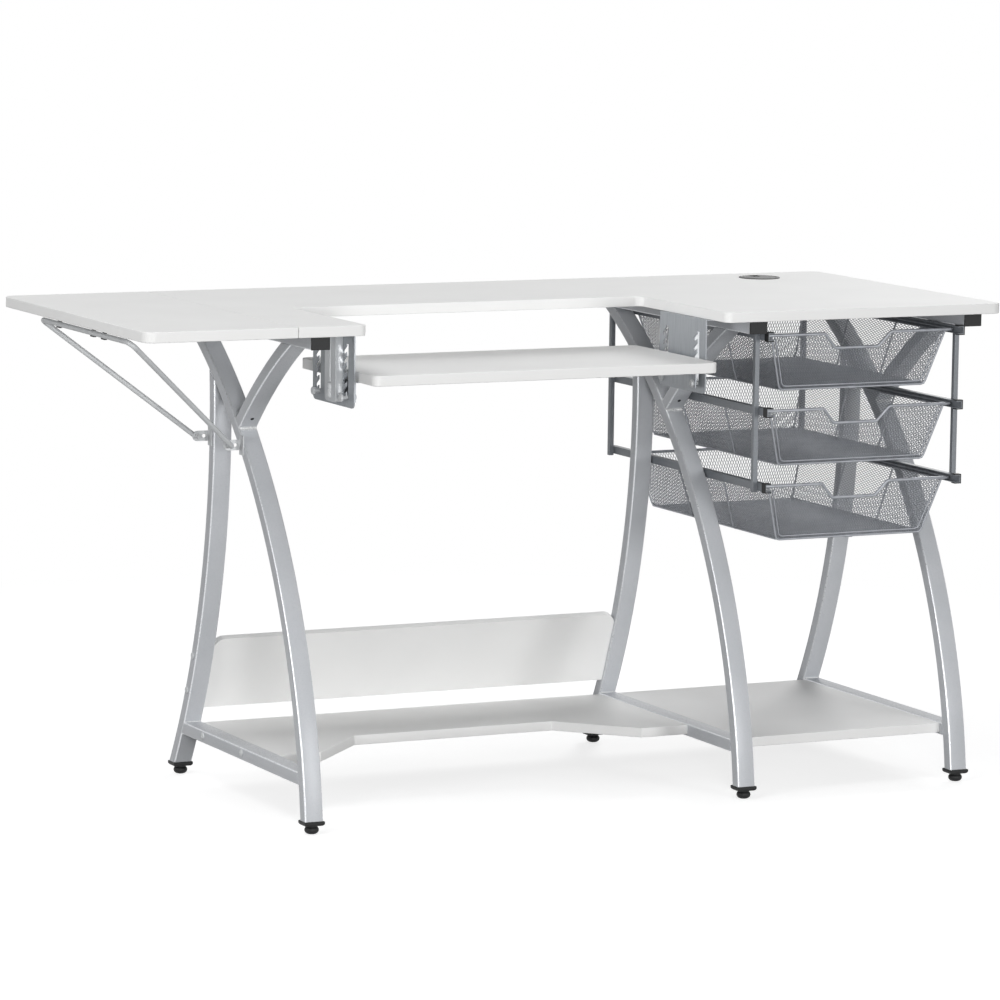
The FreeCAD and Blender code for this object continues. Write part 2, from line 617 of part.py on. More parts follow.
PIVOT_X = LEFT_FRAME - HALF - PIVOT_OUT
FRONT_TAB = leg_y(PIVOT_Z) + FRONT_TAB_SHIFT
REAR_TAB = back_y(PIVOT_Z) + REAR_TAB_SHIFT
CROSSBAR_X = LEFT + BAIL_FROM_EDGE
CROSSBAR_Z = UNDER - BAIL_RADIUS - BAIL_BELOW


def bent_rod(points, bends, radius):
    """Rod along straight runs, each bend turned in a few short mitred steps about its arc."""
    path = [points[0]]
    for before, corner, after, bend in zip(points, points[1:], points[2:], bends):
        come, go = (corner - before).normalize(), (after - corner).normalize()
        turn = come.getAngle(go)
        inward = (go - come).normalize()
        centre = corner + inward * (bend / math.cos(turn / 2))
        axis = come.cross(go)
        spoke = corner - come * (bend * math.tan(turn / 2)) - centre
        for step in range(BEND_STEPS + 1):
            swing = FreeCAD.Rotation(axis, math.degrees(turn) * step / BEND_STEPS)
            path.append(centre + swing.multVec(spoke))
    path.append(points[-1])
    profile = ring(ROD_SIDES, radius, points[0], (points[1] - points[0]).normalize())
    wire = Part.makePolygon(profile + profile[:1])
    return Part.makePolygon(path).makePipeShell([wire], True, False, 1)


def make_bail():
    turn = BAIL_TAIL + BAIL_TAIL_BEND / 2
    points = [V(PIVOT_X, FRONT_TAB + BAIL_TAIL, PIVOT_Z), V(PIVOT_X, FRONT_TAB - turn, PIVOT_Z),
              V(CROSSBAR_X, FRONT + BAIL_FRONT, CROSSBAR_Z), V(CROSSBAR_X, FRONT + BAIL_REAR, CROSSBAR_Z),
              V(PIVOT_X, REAR_TAB + turn, PIVOT_Z), V(PIVOT_X, REAR_TAB - BAIL_TAIL, PIVOT_Z)]
    bends = (BAIL_TAIL_BEND, BAIL_BEND, BAIL_BEND, BAIL_TAIL_BEND)
    save("bail", bent_rod(points, bends, BAIL_RADIUS))
    save("front_bail_bracket", bail_bracket(FRONT_TAB))
    save("rear_bail_bracket", bail_bracket(REAR_TAB))
    save("bail_clips", *[bail_clip(FRONT + y) for y in CLIP_PLACES])


def bail_bracket(y):
    """Flange on the leg's outer face with a tab that carries the rod's end."""
    face = LEFT_FRAME - HALF
    half = TAB_SHEET / 2
    flange = box(face - TAB_SHEET, face, y + half - TAB_FLANGE, y + half,
                 PIVOT_Z - TAB_FLANGE_HEIGHT / 2, PIVOT_Z + TAB_FLANGE_HEIGHT / 2)
    tab = box(PIVOT_X, face, y - half, y + half, PIVOT_Z - TAB_HEIGHT / 2, PIVOT_Z + TAB_HEIGHT / 2)
    eye = bar(EYE_SIDES, TAB_HEIGHT / 2, V(PIVOT_X, y - half, PIVOT_Z), Y_AXIS, TAB_SHEET)
    hole = rod(BAIL_RADIUS + BAIL_RUNNING, V(PIVOT_X, y - half, PIVOT_Z), Y_AXIS, TAB_SHEET)
    spare = bar(HEAD_SIDES, TAB_SPARE_HOLE, V(PIVOT_X + TAB_HOLE_PITCH, y - half, PIVOT_Z), Y_AXIS, TAB_SHEET)
    return flange.fuse(tab).fuse(eye).cut(hole).cut(spare).removeSplitter()


def bail_clip(y):
    """Hook under the flap: a foot, a wall inboard of the rod and a lip under its inner half."""
    wall = CROSSBAR_X + BAIL_RADIUS + CLIP_GAP
    low = CROSSBAR_Z - BAIL_RADIUS - CLIP_GAP
    y0, y1 = y - CLIP_LENGTH / 2, y + CLIP_LENGTH / 2
    hook = box(wall, wall + CLIP_WALL, y0, y1, low - CLIP_WALL, UNDER)
    lip = box(CROSSBAR_X + BAIL_RADIUS / 2, wall, y0, y1, low - CLIP_WALL, low)
    foot = box(wall, wall + CLIP_FOOT, y0, y1, UNDER - CLIP_WALL, UNDER)
    return hook.fuse(lip).fuse(foot).removeSplitter()


# Drawer unit
INNER_LEFT = MIDDLE_FRAME + POST_FROM_FRAME + POST     # posts' inner faces
INNER_RIGHT = RIGHT_FRAME - POST_FROM_FRAME - POST
UNIT_MID = (INNER_LEFT + INNER_RIGHT) / 2
RIM_X = INNER_RIGHT - UNIT_MID - RUNNER_SHEET - RIM_GAP - RIM_RADIUS
WALL_X = RIM_X - RIM_RADIUS - BASKET_LIP
POST_BOTTOM = RIM_TOP_Z - (len(LEVELS) - 1) * LEVEL_PITCH - POST_FOOT


def facing(shape):
    """The same piece on the other side of the drawer unit."""
    return shape.mirror(V(UNIT_MID, 0, 0), X_AXIS)


def make_drawer_frames():
    stops = []
    for place, y in (("front", FRONT_POST), ("rear", REAR_POST)):
        post = box(INNER_LEFT - POST, INNER_LEFT, FRONT + y, FRONT + y + POST, POST_BOTTOM, RAIL_UNDER)
        save("left_" + place + "_post", post)
        save("right_" + place + "_post", facing(post))
    for step, level in enumerate(LEVELS):
        z = RIM_TOP_Z - step * LEVEL_PITCH
        low = z - RIM_RADIUS - BASKET_SHEET - SEAT_GAP - RUNNER_SHEET
        high = low + RUNNER_HEIGHT
        outer = box(INNER_LEFT, INNER_LEFT + RUNNER_WIDTH, FRONT + RUNNER_FRONT, FRONT + RUNNER_REAR,
                    low, high)
        inner = box(INNER_LEFT + RUNNER_SHEET, INNER_LEFT + RUNNER_WIDTH, FRONT + RUNNER_FRONT,
                    FRONT + RUNNER_REAR, low + RUNNER_SHEET, high - RUNNER_SHEET)
        runner = outer.cut(inner)
        save(level + "_left_runner", runner)
        save(level + "_right_runner", facing(runner))
        stop = runner_stop(low, high)
        stops += [stop, facing(stop)]
    save("runner_stops", *stops)


def runner_stop(low, high):
    """Collar round the runner's front end, open to the inside."""
    y = FRONT + RUNNER_FRONT
    collar = box(INNER_LEFT - STOP_WALL, INNER_LEFT + RUNNER_WIDTH, y, y + STOP_LENGTH,
                 low - STOP_WALL, high + STOP_WALL)
    return collar.cut(box(INNER_LEFT, INNER_LEFT + RUNNER_WIDTH, y, y + STOP_LENGTH, low, high))


def tray(rim_z, inset):
    """Tapered tub between the wall tops and the floor, drawn in by inset all round."""
    y0, y1 = FRONT + BASKET_FRONT, FRONT + BASKET_FRONT + BASKET_LENGTH

    def outline(side, end, z):
        x = WALL_X - side - inset
        front, rear = y0 + end + inset, y1 - end - inset
        return [V(UNIT_MID + i * x, y, z) for i, y in ((-1, front), (1, front), (1, rear), (-1, rear))]
    floor = rim_z - BASKET_HEIGHT + inset
    top = rim_z - RIM_RADIUS
    share = 1.0 - inset / (BASKET_HEIGHT - RIM_RADIUS)
    low = outline(BASKET_SIDE_TAPER * share, BASKET_END_TAPER * share, floor)
    return frustum(low, outline(0.0, 0.0, top))


def dip_cut(rim_z):
    """Trapezoid finger notch through the front wall."""
    y = FRONT + BASKET_FRONT - RIM_RADIUS
    low = rim_z - RIM_RADIUS - DIP_DEPTH
    top, bottom = (DIP_TOP + RIM_RADIUS) / 2, (DIP_BOTTOM + RIM_RADIUS) / 2
    corners = [V(UNIT_MID - top, y, rim_z - RIM_RADIUS), V(UNIT_MID - bottom, y, low),
               V(UNIT_MID + bottom, y, low), V(UNIT_MID + top, y, rim_z - RIM_RADIUS)]
    face = Part.Face(Part.makePolygon(corners + corners[:1]))
    return face.extrude(Y_AXIS * (BASKET_END_TAPER + 2 * RIM_RADIUS))


def make_baskets():
    y0, y1 = FRONT + BASKET_FRONT, FRONT + BASKET_FRONT + BASKET_LENGTH
    lean = BASKET_END_TAPER * DIP_DEPTH / BASKET_HEIGHT
    for step, level in enumerate(LEVELS):
        z = RIM_TOP_Z - step * LEVEL_PITCH
        tub = tray(z, 0.0).cut(tray(z, BASKET_SHEET)).cut(dip_cut(z))
        lip = box(UNIT_MID - RIM_X, UNIT_MID - WALL_X + BASKET_SHEET, y0, y1,
                  z - RIM_RADIUS - BASKET_SHEET, z - RIM_RADIUS)
        save(level + "_basket_tray", tub.fuse(lip).fuse(facing(lip)).removeSplitter())
        low = z - DIP_DEPTH
        path = [(-RIM_X, y0, z), (-DIP_TOP / 2, y0, z), (-DIP_BOTTOM / 2, y0 + lean, low),
                (DIP_BOTTOM / 2, y0 + lean, low), (DIP_TOP / 2, y0, z), (RIM_X, y0, z),
                (RIM_X, y1, z), (-RIM_X, y1, z)]
        points = [V(UNIT_MID + x, y, height) for x, y, height in path]
        start = (points[0] + points[-1]) * 0.5
        loop = Part.makePolygon([start] + points + [start])
        profile = ring(ROD_SIDES, RIM_RADIUS, start, -Y_AXIS)
        wire = Part.makePolygon(profile + profile[:1])
        save(level + "_basket_rim", loop.makePipeShell([wire], True, False, 1))


make_tops()
make_grommet()
make_frames()
make_panels()
make_brackets()
make_platform()
make_hinges()
make_bail()
make_drawer_frames()
make_baskets()
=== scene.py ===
import json
import math

import bmesh
import bpy
import numpy as np
from mathutils import Matrix, Vector

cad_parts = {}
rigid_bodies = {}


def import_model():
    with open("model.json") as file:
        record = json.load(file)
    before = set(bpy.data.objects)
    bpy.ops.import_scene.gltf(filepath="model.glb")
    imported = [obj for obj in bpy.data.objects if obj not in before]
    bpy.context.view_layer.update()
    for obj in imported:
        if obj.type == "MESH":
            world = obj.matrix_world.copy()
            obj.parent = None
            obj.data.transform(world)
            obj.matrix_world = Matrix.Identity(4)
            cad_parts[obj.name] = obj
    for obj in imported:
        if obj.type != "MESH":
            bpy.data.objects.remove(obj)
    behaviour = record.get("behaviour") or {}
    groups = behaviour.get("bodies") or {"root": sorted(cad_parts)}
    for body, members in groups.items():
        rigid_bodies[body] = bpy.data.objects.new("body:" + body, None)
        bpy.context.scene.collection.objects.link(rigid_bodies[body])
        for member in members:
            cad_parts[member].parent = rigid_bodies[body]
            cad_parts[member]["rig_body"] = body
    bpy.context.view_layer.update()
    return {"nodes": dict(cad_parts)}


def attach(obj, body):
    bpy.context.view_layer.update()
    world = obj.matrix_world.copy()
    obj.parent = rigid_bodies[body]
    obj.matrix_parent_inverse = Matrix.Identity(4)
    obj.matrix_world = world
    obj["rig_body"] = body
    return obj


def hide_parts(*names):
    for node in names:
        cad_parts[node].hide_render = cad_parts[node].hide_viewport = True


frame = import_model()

NODES = frame["nodes"]
MM = 0.001

# Sizes in millimetres, in the table's frame: front edge at -Y, floor at Z 0
FRONT, REAR = -298.5, 298.5
HEIGHT = 762.0
RAIL_UNDER = 726.0
FOOT = 20.0
FRAMES = {"left": -439.7, "middle": 291.9, "right": 673.6}
TUBE_WIDTH, TUBE_DEPTH, TUBE_CORNER = 30.0, 20.0, 2.6
HALF_TUBE = TUBE_DEPTH / 2
LOWER_RAIL_Z = 71.0
TOP_RAIL_INSET = 15.0
# The bowed legs' centre lines: where each stands at its foot, half-way up and at its head
LEG_FOOT, LEG_MIDDLE, LEG_HEAD = FRONT + 32.3, FRONT + 147.5, FRONT + 488.2
BACK_FOOT, BACK_MIDDLE, BACK_HEAD = FRONT + 550.5, FRONT + 412.1, FRONT + 396.0
BACK_HEAD_Z = RAIL_UNDER - 49.0
ARM_MIRROR_Y = FRONT + 298.9
LEVELS = {"upper": 720.0, "middle": 603.0, "lower": 486.0}
UNIT_MID = 482.75
RIM_X, WALL_X = 169.55, 153.05
RIM_RADIUS = 2.5
BASKET_FRONT, BASKET_REAR = FRONT + 39.0, FRONT + 485.0
BASKET_HEIGHT = 86.0
SIDE_TAPER, END_TAPER = 25.0, 18.0
DIP_TOP, DIP_BOTTOM, DIP_DEPTH = 117.0, 77.0, 23.0
SHELF_SCREW_Z, SHELF_SCREW_GAP = 82.5, 155.0
LEFT_SHELF_Y, RIGHT_SHELF_Y = FRONT + 344.0, FRONT + 277.0
PANEL_LOW, PANEL_HIGH, PANEL_SCREW_GAP = 116.0, 231.0, 58.0
SCREW_RADIUS, SCREW_RISE = 5.6, 2.6
PIVOT_X, PIVOT_Z = -474.7, 556.0
CROSSBAR_X, CROSSBAR_Z = -704.5, 737.0
CROSSBAR_FRONT, CROSSBAR_REAR = FRONT + 100.0, FRONT + 469.0
BAIL_RADIUS, BAIL_END, BAIL_SHOULDER = 4.0, 10.0, 13.5
BAIL_END_BEND, CROSSBAR_BEND, BAIL_RING_STEP = 7.0, 10.0, 6.0
FRONT_TAB_SHIFT, REAR_TAB_SHIFT = 2.0, 9.0
STUD_Z = 646.0
STUD_YS = (-216.5, -114.5)
STUD_HEAD_X, WASHER_X, NUT_X = -374.0, -355.5, -354.7
CHANNEL_X, CHANNEL_Y = -378.0, -180.8
PIN_FOOT_Z, CREASE_LOW, CREASE_HIGH = 641.5, 667.0, 743.0
OPEN_MID = -70.0
GROMMET = (568.5, 218.5)


def circle_through(points):
    """Centre and radius of the circle through three (y, z) points: the point equally far from all."""
    points = np.array(points, float)
    rows = 2.0 * (points[1:] - points[0])
    centre = np.linalg.solve(rows, (points[1:] ** 2).sum(1) - (points[0] ** 2).sum())
    return centre[0], centre[1], np.linalg.norm(points[0] - centre)


LEG_Y, LEG_Z, LEG_R = circle_through([(LEG_FOOT, FOOT), (LEG_MIDDLE, HEIGHT / 2), (LEG_HEAD, RAIL_UNDER)])
BACK_Y, BACK_Z, BACK_R = circle_through([(BACK_FOOT, FOOT), (BACK_MIDDLE, HEIGHT / 2),
                                         (BACK_HEAD, BACK_HEAD_Z)])
ARM_Y = 2 * ARM_MIRROR_Y - LEG_Y


def leg_y(z):
    """Where the front leg's centre line stands at a height."""
    return LEG_Y - math.sqrt(LEG_R ** 2 - (z - LEG_Z) ** 2)


def back_y(z):
    """Where the rear leg's centre line stands at a height."""
    return BACK_Y - math.sqrt(BACK_R ** 2 - (z - BACK_Z) ** 2)


# Materials
def linear(code):
    """An sRGB hex colour as linear RGBA."""
    value = np.array([int(code[i:i + 2], 16) for i in (1, 3, 5)]) / 255.0
    value = np.where(value <= 0.04045, value / 12.92, ((value + 0.055) / 1.055) ** 2.4)
    return (*[float(v) for v in value], 1.0)


def add(tree, kind, inputs=None, **settings):
    """Adds a node; inputs holds a value or another node's output for each named or numbered socket."""
    node = tree.nodes.new("ShaderNode" + kind)
    for name, value in settings.items():
        setattr(node, name, value)
    for name, value in (inputs or {}).items():
        if isinstance(value, bpy.types.NodeSocket):
            tree.links.new(value, node.inputs[name])
        else:
            node.inputs[name].default_value = value
    return node


def new_material(name):
    """An empty material with its node tree and Object coordinates."""
    material = bpy.data.materials.new(name)
    material.use_nodes = True
    tree = material.node_tree
    tree.nodes.clear()
    return material, tree, add(tree, "TexCoord").outputs["Object"]


def cells(size):
    """Noise scale for a feature of this size in millimetres: how many lie side by side in a metre, to the
    nearest whole number."""
    return float(round(1.0 / (size * MM)))


def melamine_board():
    """White melamine on chipboard, pressed against a finely pearled plate: a soft, even sheen
    with faint cloudiness."""
    material, tree, place = new_material("white_melamine_board")
    cloud = add(tree, "TexNoise", {"Vector": place, "Scale": cells(111.0), "Detail": 3.0})
    # The plate's pearl is about 0.8 mm; it is drawn at 2.5 mm so that it shows
    pearl = add(tree, "TexNoise", {"Vector": place, "Scale": cells(2.5), "Detail": 2.0})
    rough = add(tree, "MapRange", {"Value": pearl.outputs["Fac"], "To Min": 0.50, "To Max": 0.62})
    bump = add(tree, "Bump", {"Height": pearl.outputs["Fac"], "Strength": 0.06, "Distance": 0.0006})
    tone = add(tree, "Mix", {0: cloud.outputs["Fac"], 6: linear("#F1F1F0"), 7: linear("#F8F8F7")},
               data_type="RGBA")
    surface = add(tree, "BsdfPrincipled", {"Base Color": tone.outputs[2],
                                           "Roughness": rough.outputs["Result"],
                                           "Normal": bump.outputs["Normal"], "IOR": 1.5,
                                           "Specular IOR Level": 0.2})
    add(tree, "OutputMaterial", {"Surface": surface.outputs["BSDF"]})
    return material


def silver_powder_coat():
    """Silver powder coat on steel tube: metal flake under a satin film, with a slight orange peel.
    The tube's rounded corners, marked by the edge attribute, get a paler and more metallic finish:
    this is a painted highlight that shines as bright lines."""
    material, tree, place = new_material("silver_powder_coat")
    # Flake is 0.1 mm; it is drawn at 1.6 mm so that it shows
    flake = add(tree, "TexNoise", {"Vector": place, "Scale": cells(1.613), "Detail": 3.0, "Roughness": 0.7})
    drift = add(tree, "TexNoise", {"Vector": place, "Scale": cells(71.4), "Detail": 2.0})
    mottle = add(tree, "Math", {0: flake.outputs["Fac"], 1: drift.outputs["Fac"]}, operation="MULTIPLY")
    spread = add(tree, "MapRange", {"Value": mottle.outputs[0], "From Min": 0.12, "From Max": 0.40})
    peel = add(tree, "TexNoise", {"Vector": place, "Scale": cells(3.85), "Detail": 1.0})
    bump = add(tree, "Bump", {"Height": peel.outputs["Fac"], "Strength": 0.05, "Distance": 0.0008})
    rough = add(tree, "MapRange", {"Value": flake.outputs["Fac"], "To Min": 0.24, "To Max": 0.32})
    # The corners' paler tone and higher metallic below are a painted highlight along the tube's rounded
    # corners
    edge = add(tree, "Attribute", attribute_name="edge").outputs["Fac"]
    film = add(tree, "Mix", {0: spread.outputs["Result"], 6: linear("#C3C6CA"), 7: linear("#CCCED2")},
               data_type="RGBA")
    tone = add(tree, "Mix", {0: edge, 6: film.outputs[2], 7: linear("#E2E4E7")}, data_type="RGBA")
    metal = add(tree, "MapRange", {"Value": edge, "To Min": 0.02, "To Max": 0.7})
    surface = add(tree, "BsdfPrincipled", {"Base Color": tone.outputs[2],
                                           "Metallic": metal.outputs["Result"],
                                           "Specular IOR Level": 0.12,
                                           "Roughness": rough.outputs["Result"],
                                           "Normal": bump.outputs["Normal"]})
    add(tree, "OutputMaterial", {"Surface": surface.outputs["BSDF"]})
    return material


def grey_powder_coat():
    """Grey powder coat on the drawer unit's thin tube and runners: darker than the legs and duller."""
    material, tree, place = new_material("grey_powder_coat")
    # The grit of the film is 0.2 mm; it is drawn at 1.6 mm so that it shows
    flake = add(tree, "TexNoise", {"Vector": place, "Scale": cells(1.5625), "Detail": 3.0})
    spread = add(tree, "MapRange", {"Value": flake.outputs["Fac"], "From Min": 0.3, "From Max": 0.7})
    bump = add(tree, "Bump", {"Height": flake.outputs["Fac"], "Strength": 0.05, "Distance": 0.0005})
    rough = add(tree, "MapRange", {"Value": flake.outputs["Fac"], "To Min": 0.36, "To Max": 0.50})
    tone = add(tree, "Mix", {0: spread.outputs["Result"], 6: linear("#707479"), 7: linear("#7F8388")},
               data_type="RGBA")
    surface = add(tree, "BsdfPrincipled", {"Base Color": tone.outputs[2], "Metallic": 0.15,
                                           "Roughness": rough.outputs["Result"],
                                           "Normal": bump.outputs["Normal"]})
    add(tree, "OutputMaterial", {"Surface": surface.outputs["BSDF"]})
    return material


def coated_mesh():
    """Powder-coated expanded steel and wire: the film gathers at the crossings and looks a little dull."""
    material, tree, place = new_material("coated_expanded_steel")
    film = add(tree, "TexNoise", {"Vector": place, "Scale": cells(11.1), "Detail": 3.0})
    spread = add(tree, "MapRange", {"Value": film.outputs["Fac"], "From Min": 0.3, "From Max": 0.7})
    rough = add(tree, "MapRange", {"Value": film.outputs["Fac"], "To Min": 0.34, "To Max": 0.48})
    tone = add(tree, "Mix", {0: spread.outputs["Result"], 6: linear("#96999F"), 7: linear("#A6A9AF")},
               data_type="RGBA")
    surface = add(tree, "BsdfPrincipled", {"Base Color": tone.outputs[2], "Metallic": 0.3,
                                           "Roughness": rough.outputs["Result"]})
    add(tree, "OutputMaterial", {"Surface": surface.outputs["BSDF"]})
    return material


def zinc_plate():
    """Zinc plate on steel: a pale satin that blurs what it mirrors, with faint cloudy patches."""
    material, tree, place = new_material("bright_zinc_plate")
    cloud = add(tree, "TexNoise", {"Vector": place, "Scale": cells(22.2), "Detail": 2.0})
    spread = add(tree, "MapRange", {"Value": cloud.outputs["Fac"], "From Min": 0.3, "From Max": 0.7})
    rough = add(tree, "MapRange", {"Value": cloud.outputs["Fac"], "To Min": 0.46, "To Max": 0.52})
    tone = add(tree, "Mix", {0: spread.outputs["Result"], 6: linear("#CFD1D3"), 7: linear("#D8DADB")},
               data_type="RGBA")
    surface = add(tree, "BsdfPrincipled", {"Base Color": tone.outputs[2], "Metallic": 0.08,
                                           "Roughness": rough.outputs["Result"],
                                           "Specular IOR Level": 0.15})
    add(tree, "OutputMaterial", {"Surface": surface.outputs["BSDF"]})
    return material


def pressed_steel(name, dark, pale, metal):
    """Pressed sheet of the lift brackets: even satin with faint drag lines down the sheet."""
    material, tree, place = new_material(name)
    stretch = add(tree, "Mapping", {"Vector": place, "Scale": (1.0, 1.0, 0.06)})
    # Drag lines are 0.1 mm apart; they are drawn at 2.4 mm so that they show
    drag = add(tree, "TexNoise", {"Vector": stretch.outputs["Vector"], "Scale": cells(2.38), "Detail": 3.0})
    spread = add(tree, "MapRange", {"Value": drag.outputs["Fac"], "From Min": 0.3, "From Max": 0.7})
    rough = add(tree, "MapRange", {"Value": drag.outputs["Fac"], "To Min": 0.34, "To Max": 0.48})
    bump = add(tree, "Bump", {"Height": drag.outputs["Fac"], "Strength": 0.04, "Distance": 0.0004})
    tone = add(tree, "Mix", {0: spread.outputs["Result"], 6: linear(dark), 7: linear(pale)},
               data_type="RGBA")
    surface = add(tree, "BsdfPrincipled", {"Base Color": tone.outputs[2], "Metallic": metal,
                                           "Roughness": rough.outputs["Result"],
                                           "Normal": bump.outputs["Normal"]})
    add(tree, "OutputMaterial", {"Surface": surface.outputs["BSDF"]})
    return material


def moulded_black():
    """Black polypropylene from a spark-eroded mould: a matt grain with soft highlights."""
    material, tree, place = new_material("moulded_black_polypropylene")
    # The grain is 0.3 mm; it is drawn at 1.4 mm so that it shows
    grain = add(tree, "TexNoise", {"Vector": place, "Scale": cells(1.429), "Detail": 3.0})
    spread = add(tree, "MapRange", {"Value": grain.outputs["Fac"], "From Min": 0.3, "From Max": 0.7})
    rough = add(tree, "MapRange", {"Value": grain.outputs["Fac"], "To Min": 0.42, "To Max": 0.60})
    bump = add(tree, "Bump", {"Height": grain.outputs["Fac"], "Strength": 0.12, "Distance": 0.0005})
    tone = add(tree, "Mix", {0: spread.outputs["Result"], 6: linear("#101112"), 7: linear("#1A1B1C")},
               data_type="RGBA")
    surface = add(tree, "BsdfPrincipled", {"Base Color": tone.outputs[2],
                                           "Roughness": rough.outputs["Result"],
                                           "Normal": bump.outputs["Normal"], "IOR": 1.49,
                                           "Specular IOR Level": 0.3})
    add(tree, "OutputMaterial", {"Surface": surface.outputs["BSDF"]})
    return material


def weld_metal():
    """Weld bead under the silver coat: rippled, brighter where the film is thin."""
    material, tree, place = new_material("coated_weld_bead")
    film = add(tree, "TexNoise", {"Vector": place, "Scale": cells(3.33), "Detail": 3.0})
    spread = add(tree, "MapRange", {"Value": film.outputs["Fac"], "From Min": 0.3, "From Max": 0.7})
    bump = add(tree, "Bump", {"Height": film.outputs["Fac"], "Strength": 0.2, "Distance": 0.0008})
    tone = add(tree, "Mix", {0: spread.outputs["Result"], 6: linear("#C4C6C7"), 7: linear("#E2E3E3")},
               data_type="RGBA")
    surface = add(tree, "BsdfPrincipled", {"Base Color": tone.outputs[2], "Metallic": 0.2,
                                           "Roughness": 0.34, "Normal": bump.outputs["Normal"]})
    add(tree, "OutputMaterial", {"Surface": surface.outputs["BSDF"]})
    return material


WHITE = melamine_board()
SILVER = silver_powder_coat()
GREY = grey_powder_coat()
MESH = coated_mesh()
ZINC = zinc_plate()
SHEET = pressed_steel("grey_coated_steel_sheet", "#94989D", "#A3A7AB", 0.35)
PLATED = pressed_steel("zinc_plated_steel_sheet", "#C0C3C5", "#CDCFD1", 0.45)
BLACK = moulded_black()
WELD = weld_metal()


# Surfaces
def piece(name, points, faces, material, body="table", stands_for=(), sharp=40.0):
    """A mesh piece from points in millimetres and lists of corner indices."""
    mesh = bpy.data.meshes.new(name)
    mesh.from_pydata((np.asarray(points, float) * MM).tolist(), [], [list(map(int, f)) for f in faces])
    mesh.validate()
    mesh.shade_smooth()
    mesh.set_sharp_from_angle(angle=math.radians(sharp))
    mesh.materials.append(material)
    obj = bpy.data.objects.new(name, mesh)
    bpy.context.scene.collection.objects.link(obj)
    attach(obj, body)
    if stands_for:
        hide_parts(*stands_for)
    return obj


def grid(rows, columns, closed_rows=False):
    """Quads over a grid of points whose columns wrap round; closed_rows also joins the last row
    to the first."""
    i, j = np.meshgrid(np.arange(rows if closed_rows else rows - 1), np.arange(columns), indexing="ij")
    here, beside = i * columns + j, i * columns + (j + 1) % columns
    above, across = ((i + 1) % rows) * columns + j, ((i + 1) % rows) * columns + (j + 1) % columns
    return np.stack([here, beside, across, above], -1).reshape(-1, 4).tolist()


def capped(rows, columns):
    """A grid's quads with its first and last rings closed by flat faces."""
    first = list(range(columns))[::-1]
    last = list(range((rows - 1) * columns, rows * columns))
    return grid(rows, columns) + [first, last]


def gather(parts):
    """Joins (points, faces) pairs into one pair."""
    points, faces, count = [], [], 0
    for own, quads in parts:
        points.append(own)
        faces += [[k + count for k in quad] for quad in quads]
        count += len(own)
    return np.concatenate(points), faces


def smooth_path(corners, radii, steps=8):
    """A polyline with each inner corner turned on an arc tangent to its two runs."""
    corners = [np.array(c, float) for c in corners]
    path = [corners[0][None]]
    for before, corner, after, radius in zip(corners, corners[1:], corners[2:], radii):
        come = (corner - before) / np.linalg.norm(corner - before)
        go = (after - corner) / np.linalg.norm(after - corner)
        turn = math.acos(float(np.clip(come @ go, -1, 1)))
        inward = (go - come) / np.linalg.norm(go - come)
        centre = corner + inward * radius / math.cos(turn / 2)
        angle = np.linspace(-turn / 2, turn / 2, steps + 1)[:, None]
        along = (come + go) / np.linalg.norm(come + go)
        path.append(centre - inward * radius * np.cos(angle) + along * radius * np.sin(angle))
    path.append(corners[-1][None])
    return np.concatenate(path)


def stepped(path, step):
    """A polyline with each run longer than the step cut into even parts."""
    parts = []
    for start, end in zip(path, path[1:]):
        count = max(1, int(round(np.linalg.norm(end - start) / step)))
        parts.append(start + (end - start) * np.linspace(0, 1, count, endpoint=False)[:, None])
    return np.concatenate(parts + [path[-1:]])


def round_rod(path, radius, sides=12, closed=False):
    """A circle carried along a path: each ring stands square to the mean of the runs that meet there,
    and a frame passed from ring to ring keeps it from twisting."""
    path = np.asarray(path, float)
    if closed:
        runs = np.roll(path, -1, 0) - path
        runs /= np.linalg.norm(runs, axis=1)[:, None]
        tangent = runs + np.roll(runs, 1, 0)
    else:
        runs = np.diff(path, axis=0)
        runs /= np.linalg.norm(runs, axis=1)[:, None]
        tangent = np.concatenate([runs[:1], runs[1:] + runs[:-1], runs[-1:]])
    tangent /= np.linalg.norm(tangent, axis=1)[:, None]
    start = np.array([1.0, 0, 0]) if abs(tangent[0][0]) < 0.7 else np.array([0, 0, 1.0])
    normals = []
    for t in tangent:
        start = start - t * (start @ t)
        start = start / np.linalg.norm(start)
        normals.append(start)
    normal = np.array(normals)
    side = np.cross(tangent, normal)
    angle = np.linspace(0, 2 * np.pi, sides, endpoint=False)
    radius = np.broadcast_to(np.asarray(radius, float), (len(path),))
    spoke = normal[:, None] * np.cos(angle)[:, None] + side[:, None] * np.sin(angle)[:, None]
    rings = path[:, None] + radius[:, None, None] * spoke
    faces = grid(len(path), sides, True) if closed else capped(len(path), sides)
    return rings.reshape(-1, 3), faces


def turned(profile, centre, axis=(0, 0, 1), sides=32):
    """A profile of (radius, height) points spun about an axis; a radius of zero closes on the axis."""
    profile = np.array(profile, float)
    axis = np.array(axis, float)
    across = np.array([1.0, 0, 0]) if abs(axis[0]) < 0.5 else np.array([0, 0, 1.0])
    along = np.cross(axis, across)
    angle = np.linspace(0, 2 * np.pi, sides, endpoint=False)
    spoke = across * np.cos(angle)[:, None] + along * np.sin(angle)[:, None]
    radius = np.maximum(profile[:, 0], 0.02)
    points = np.array(centre, float) + radius[:, None, None] * spoke + profile[:, 1][:, None, None] * axis
    return points.reshape(-1, 3), capped(len(profile), sides)


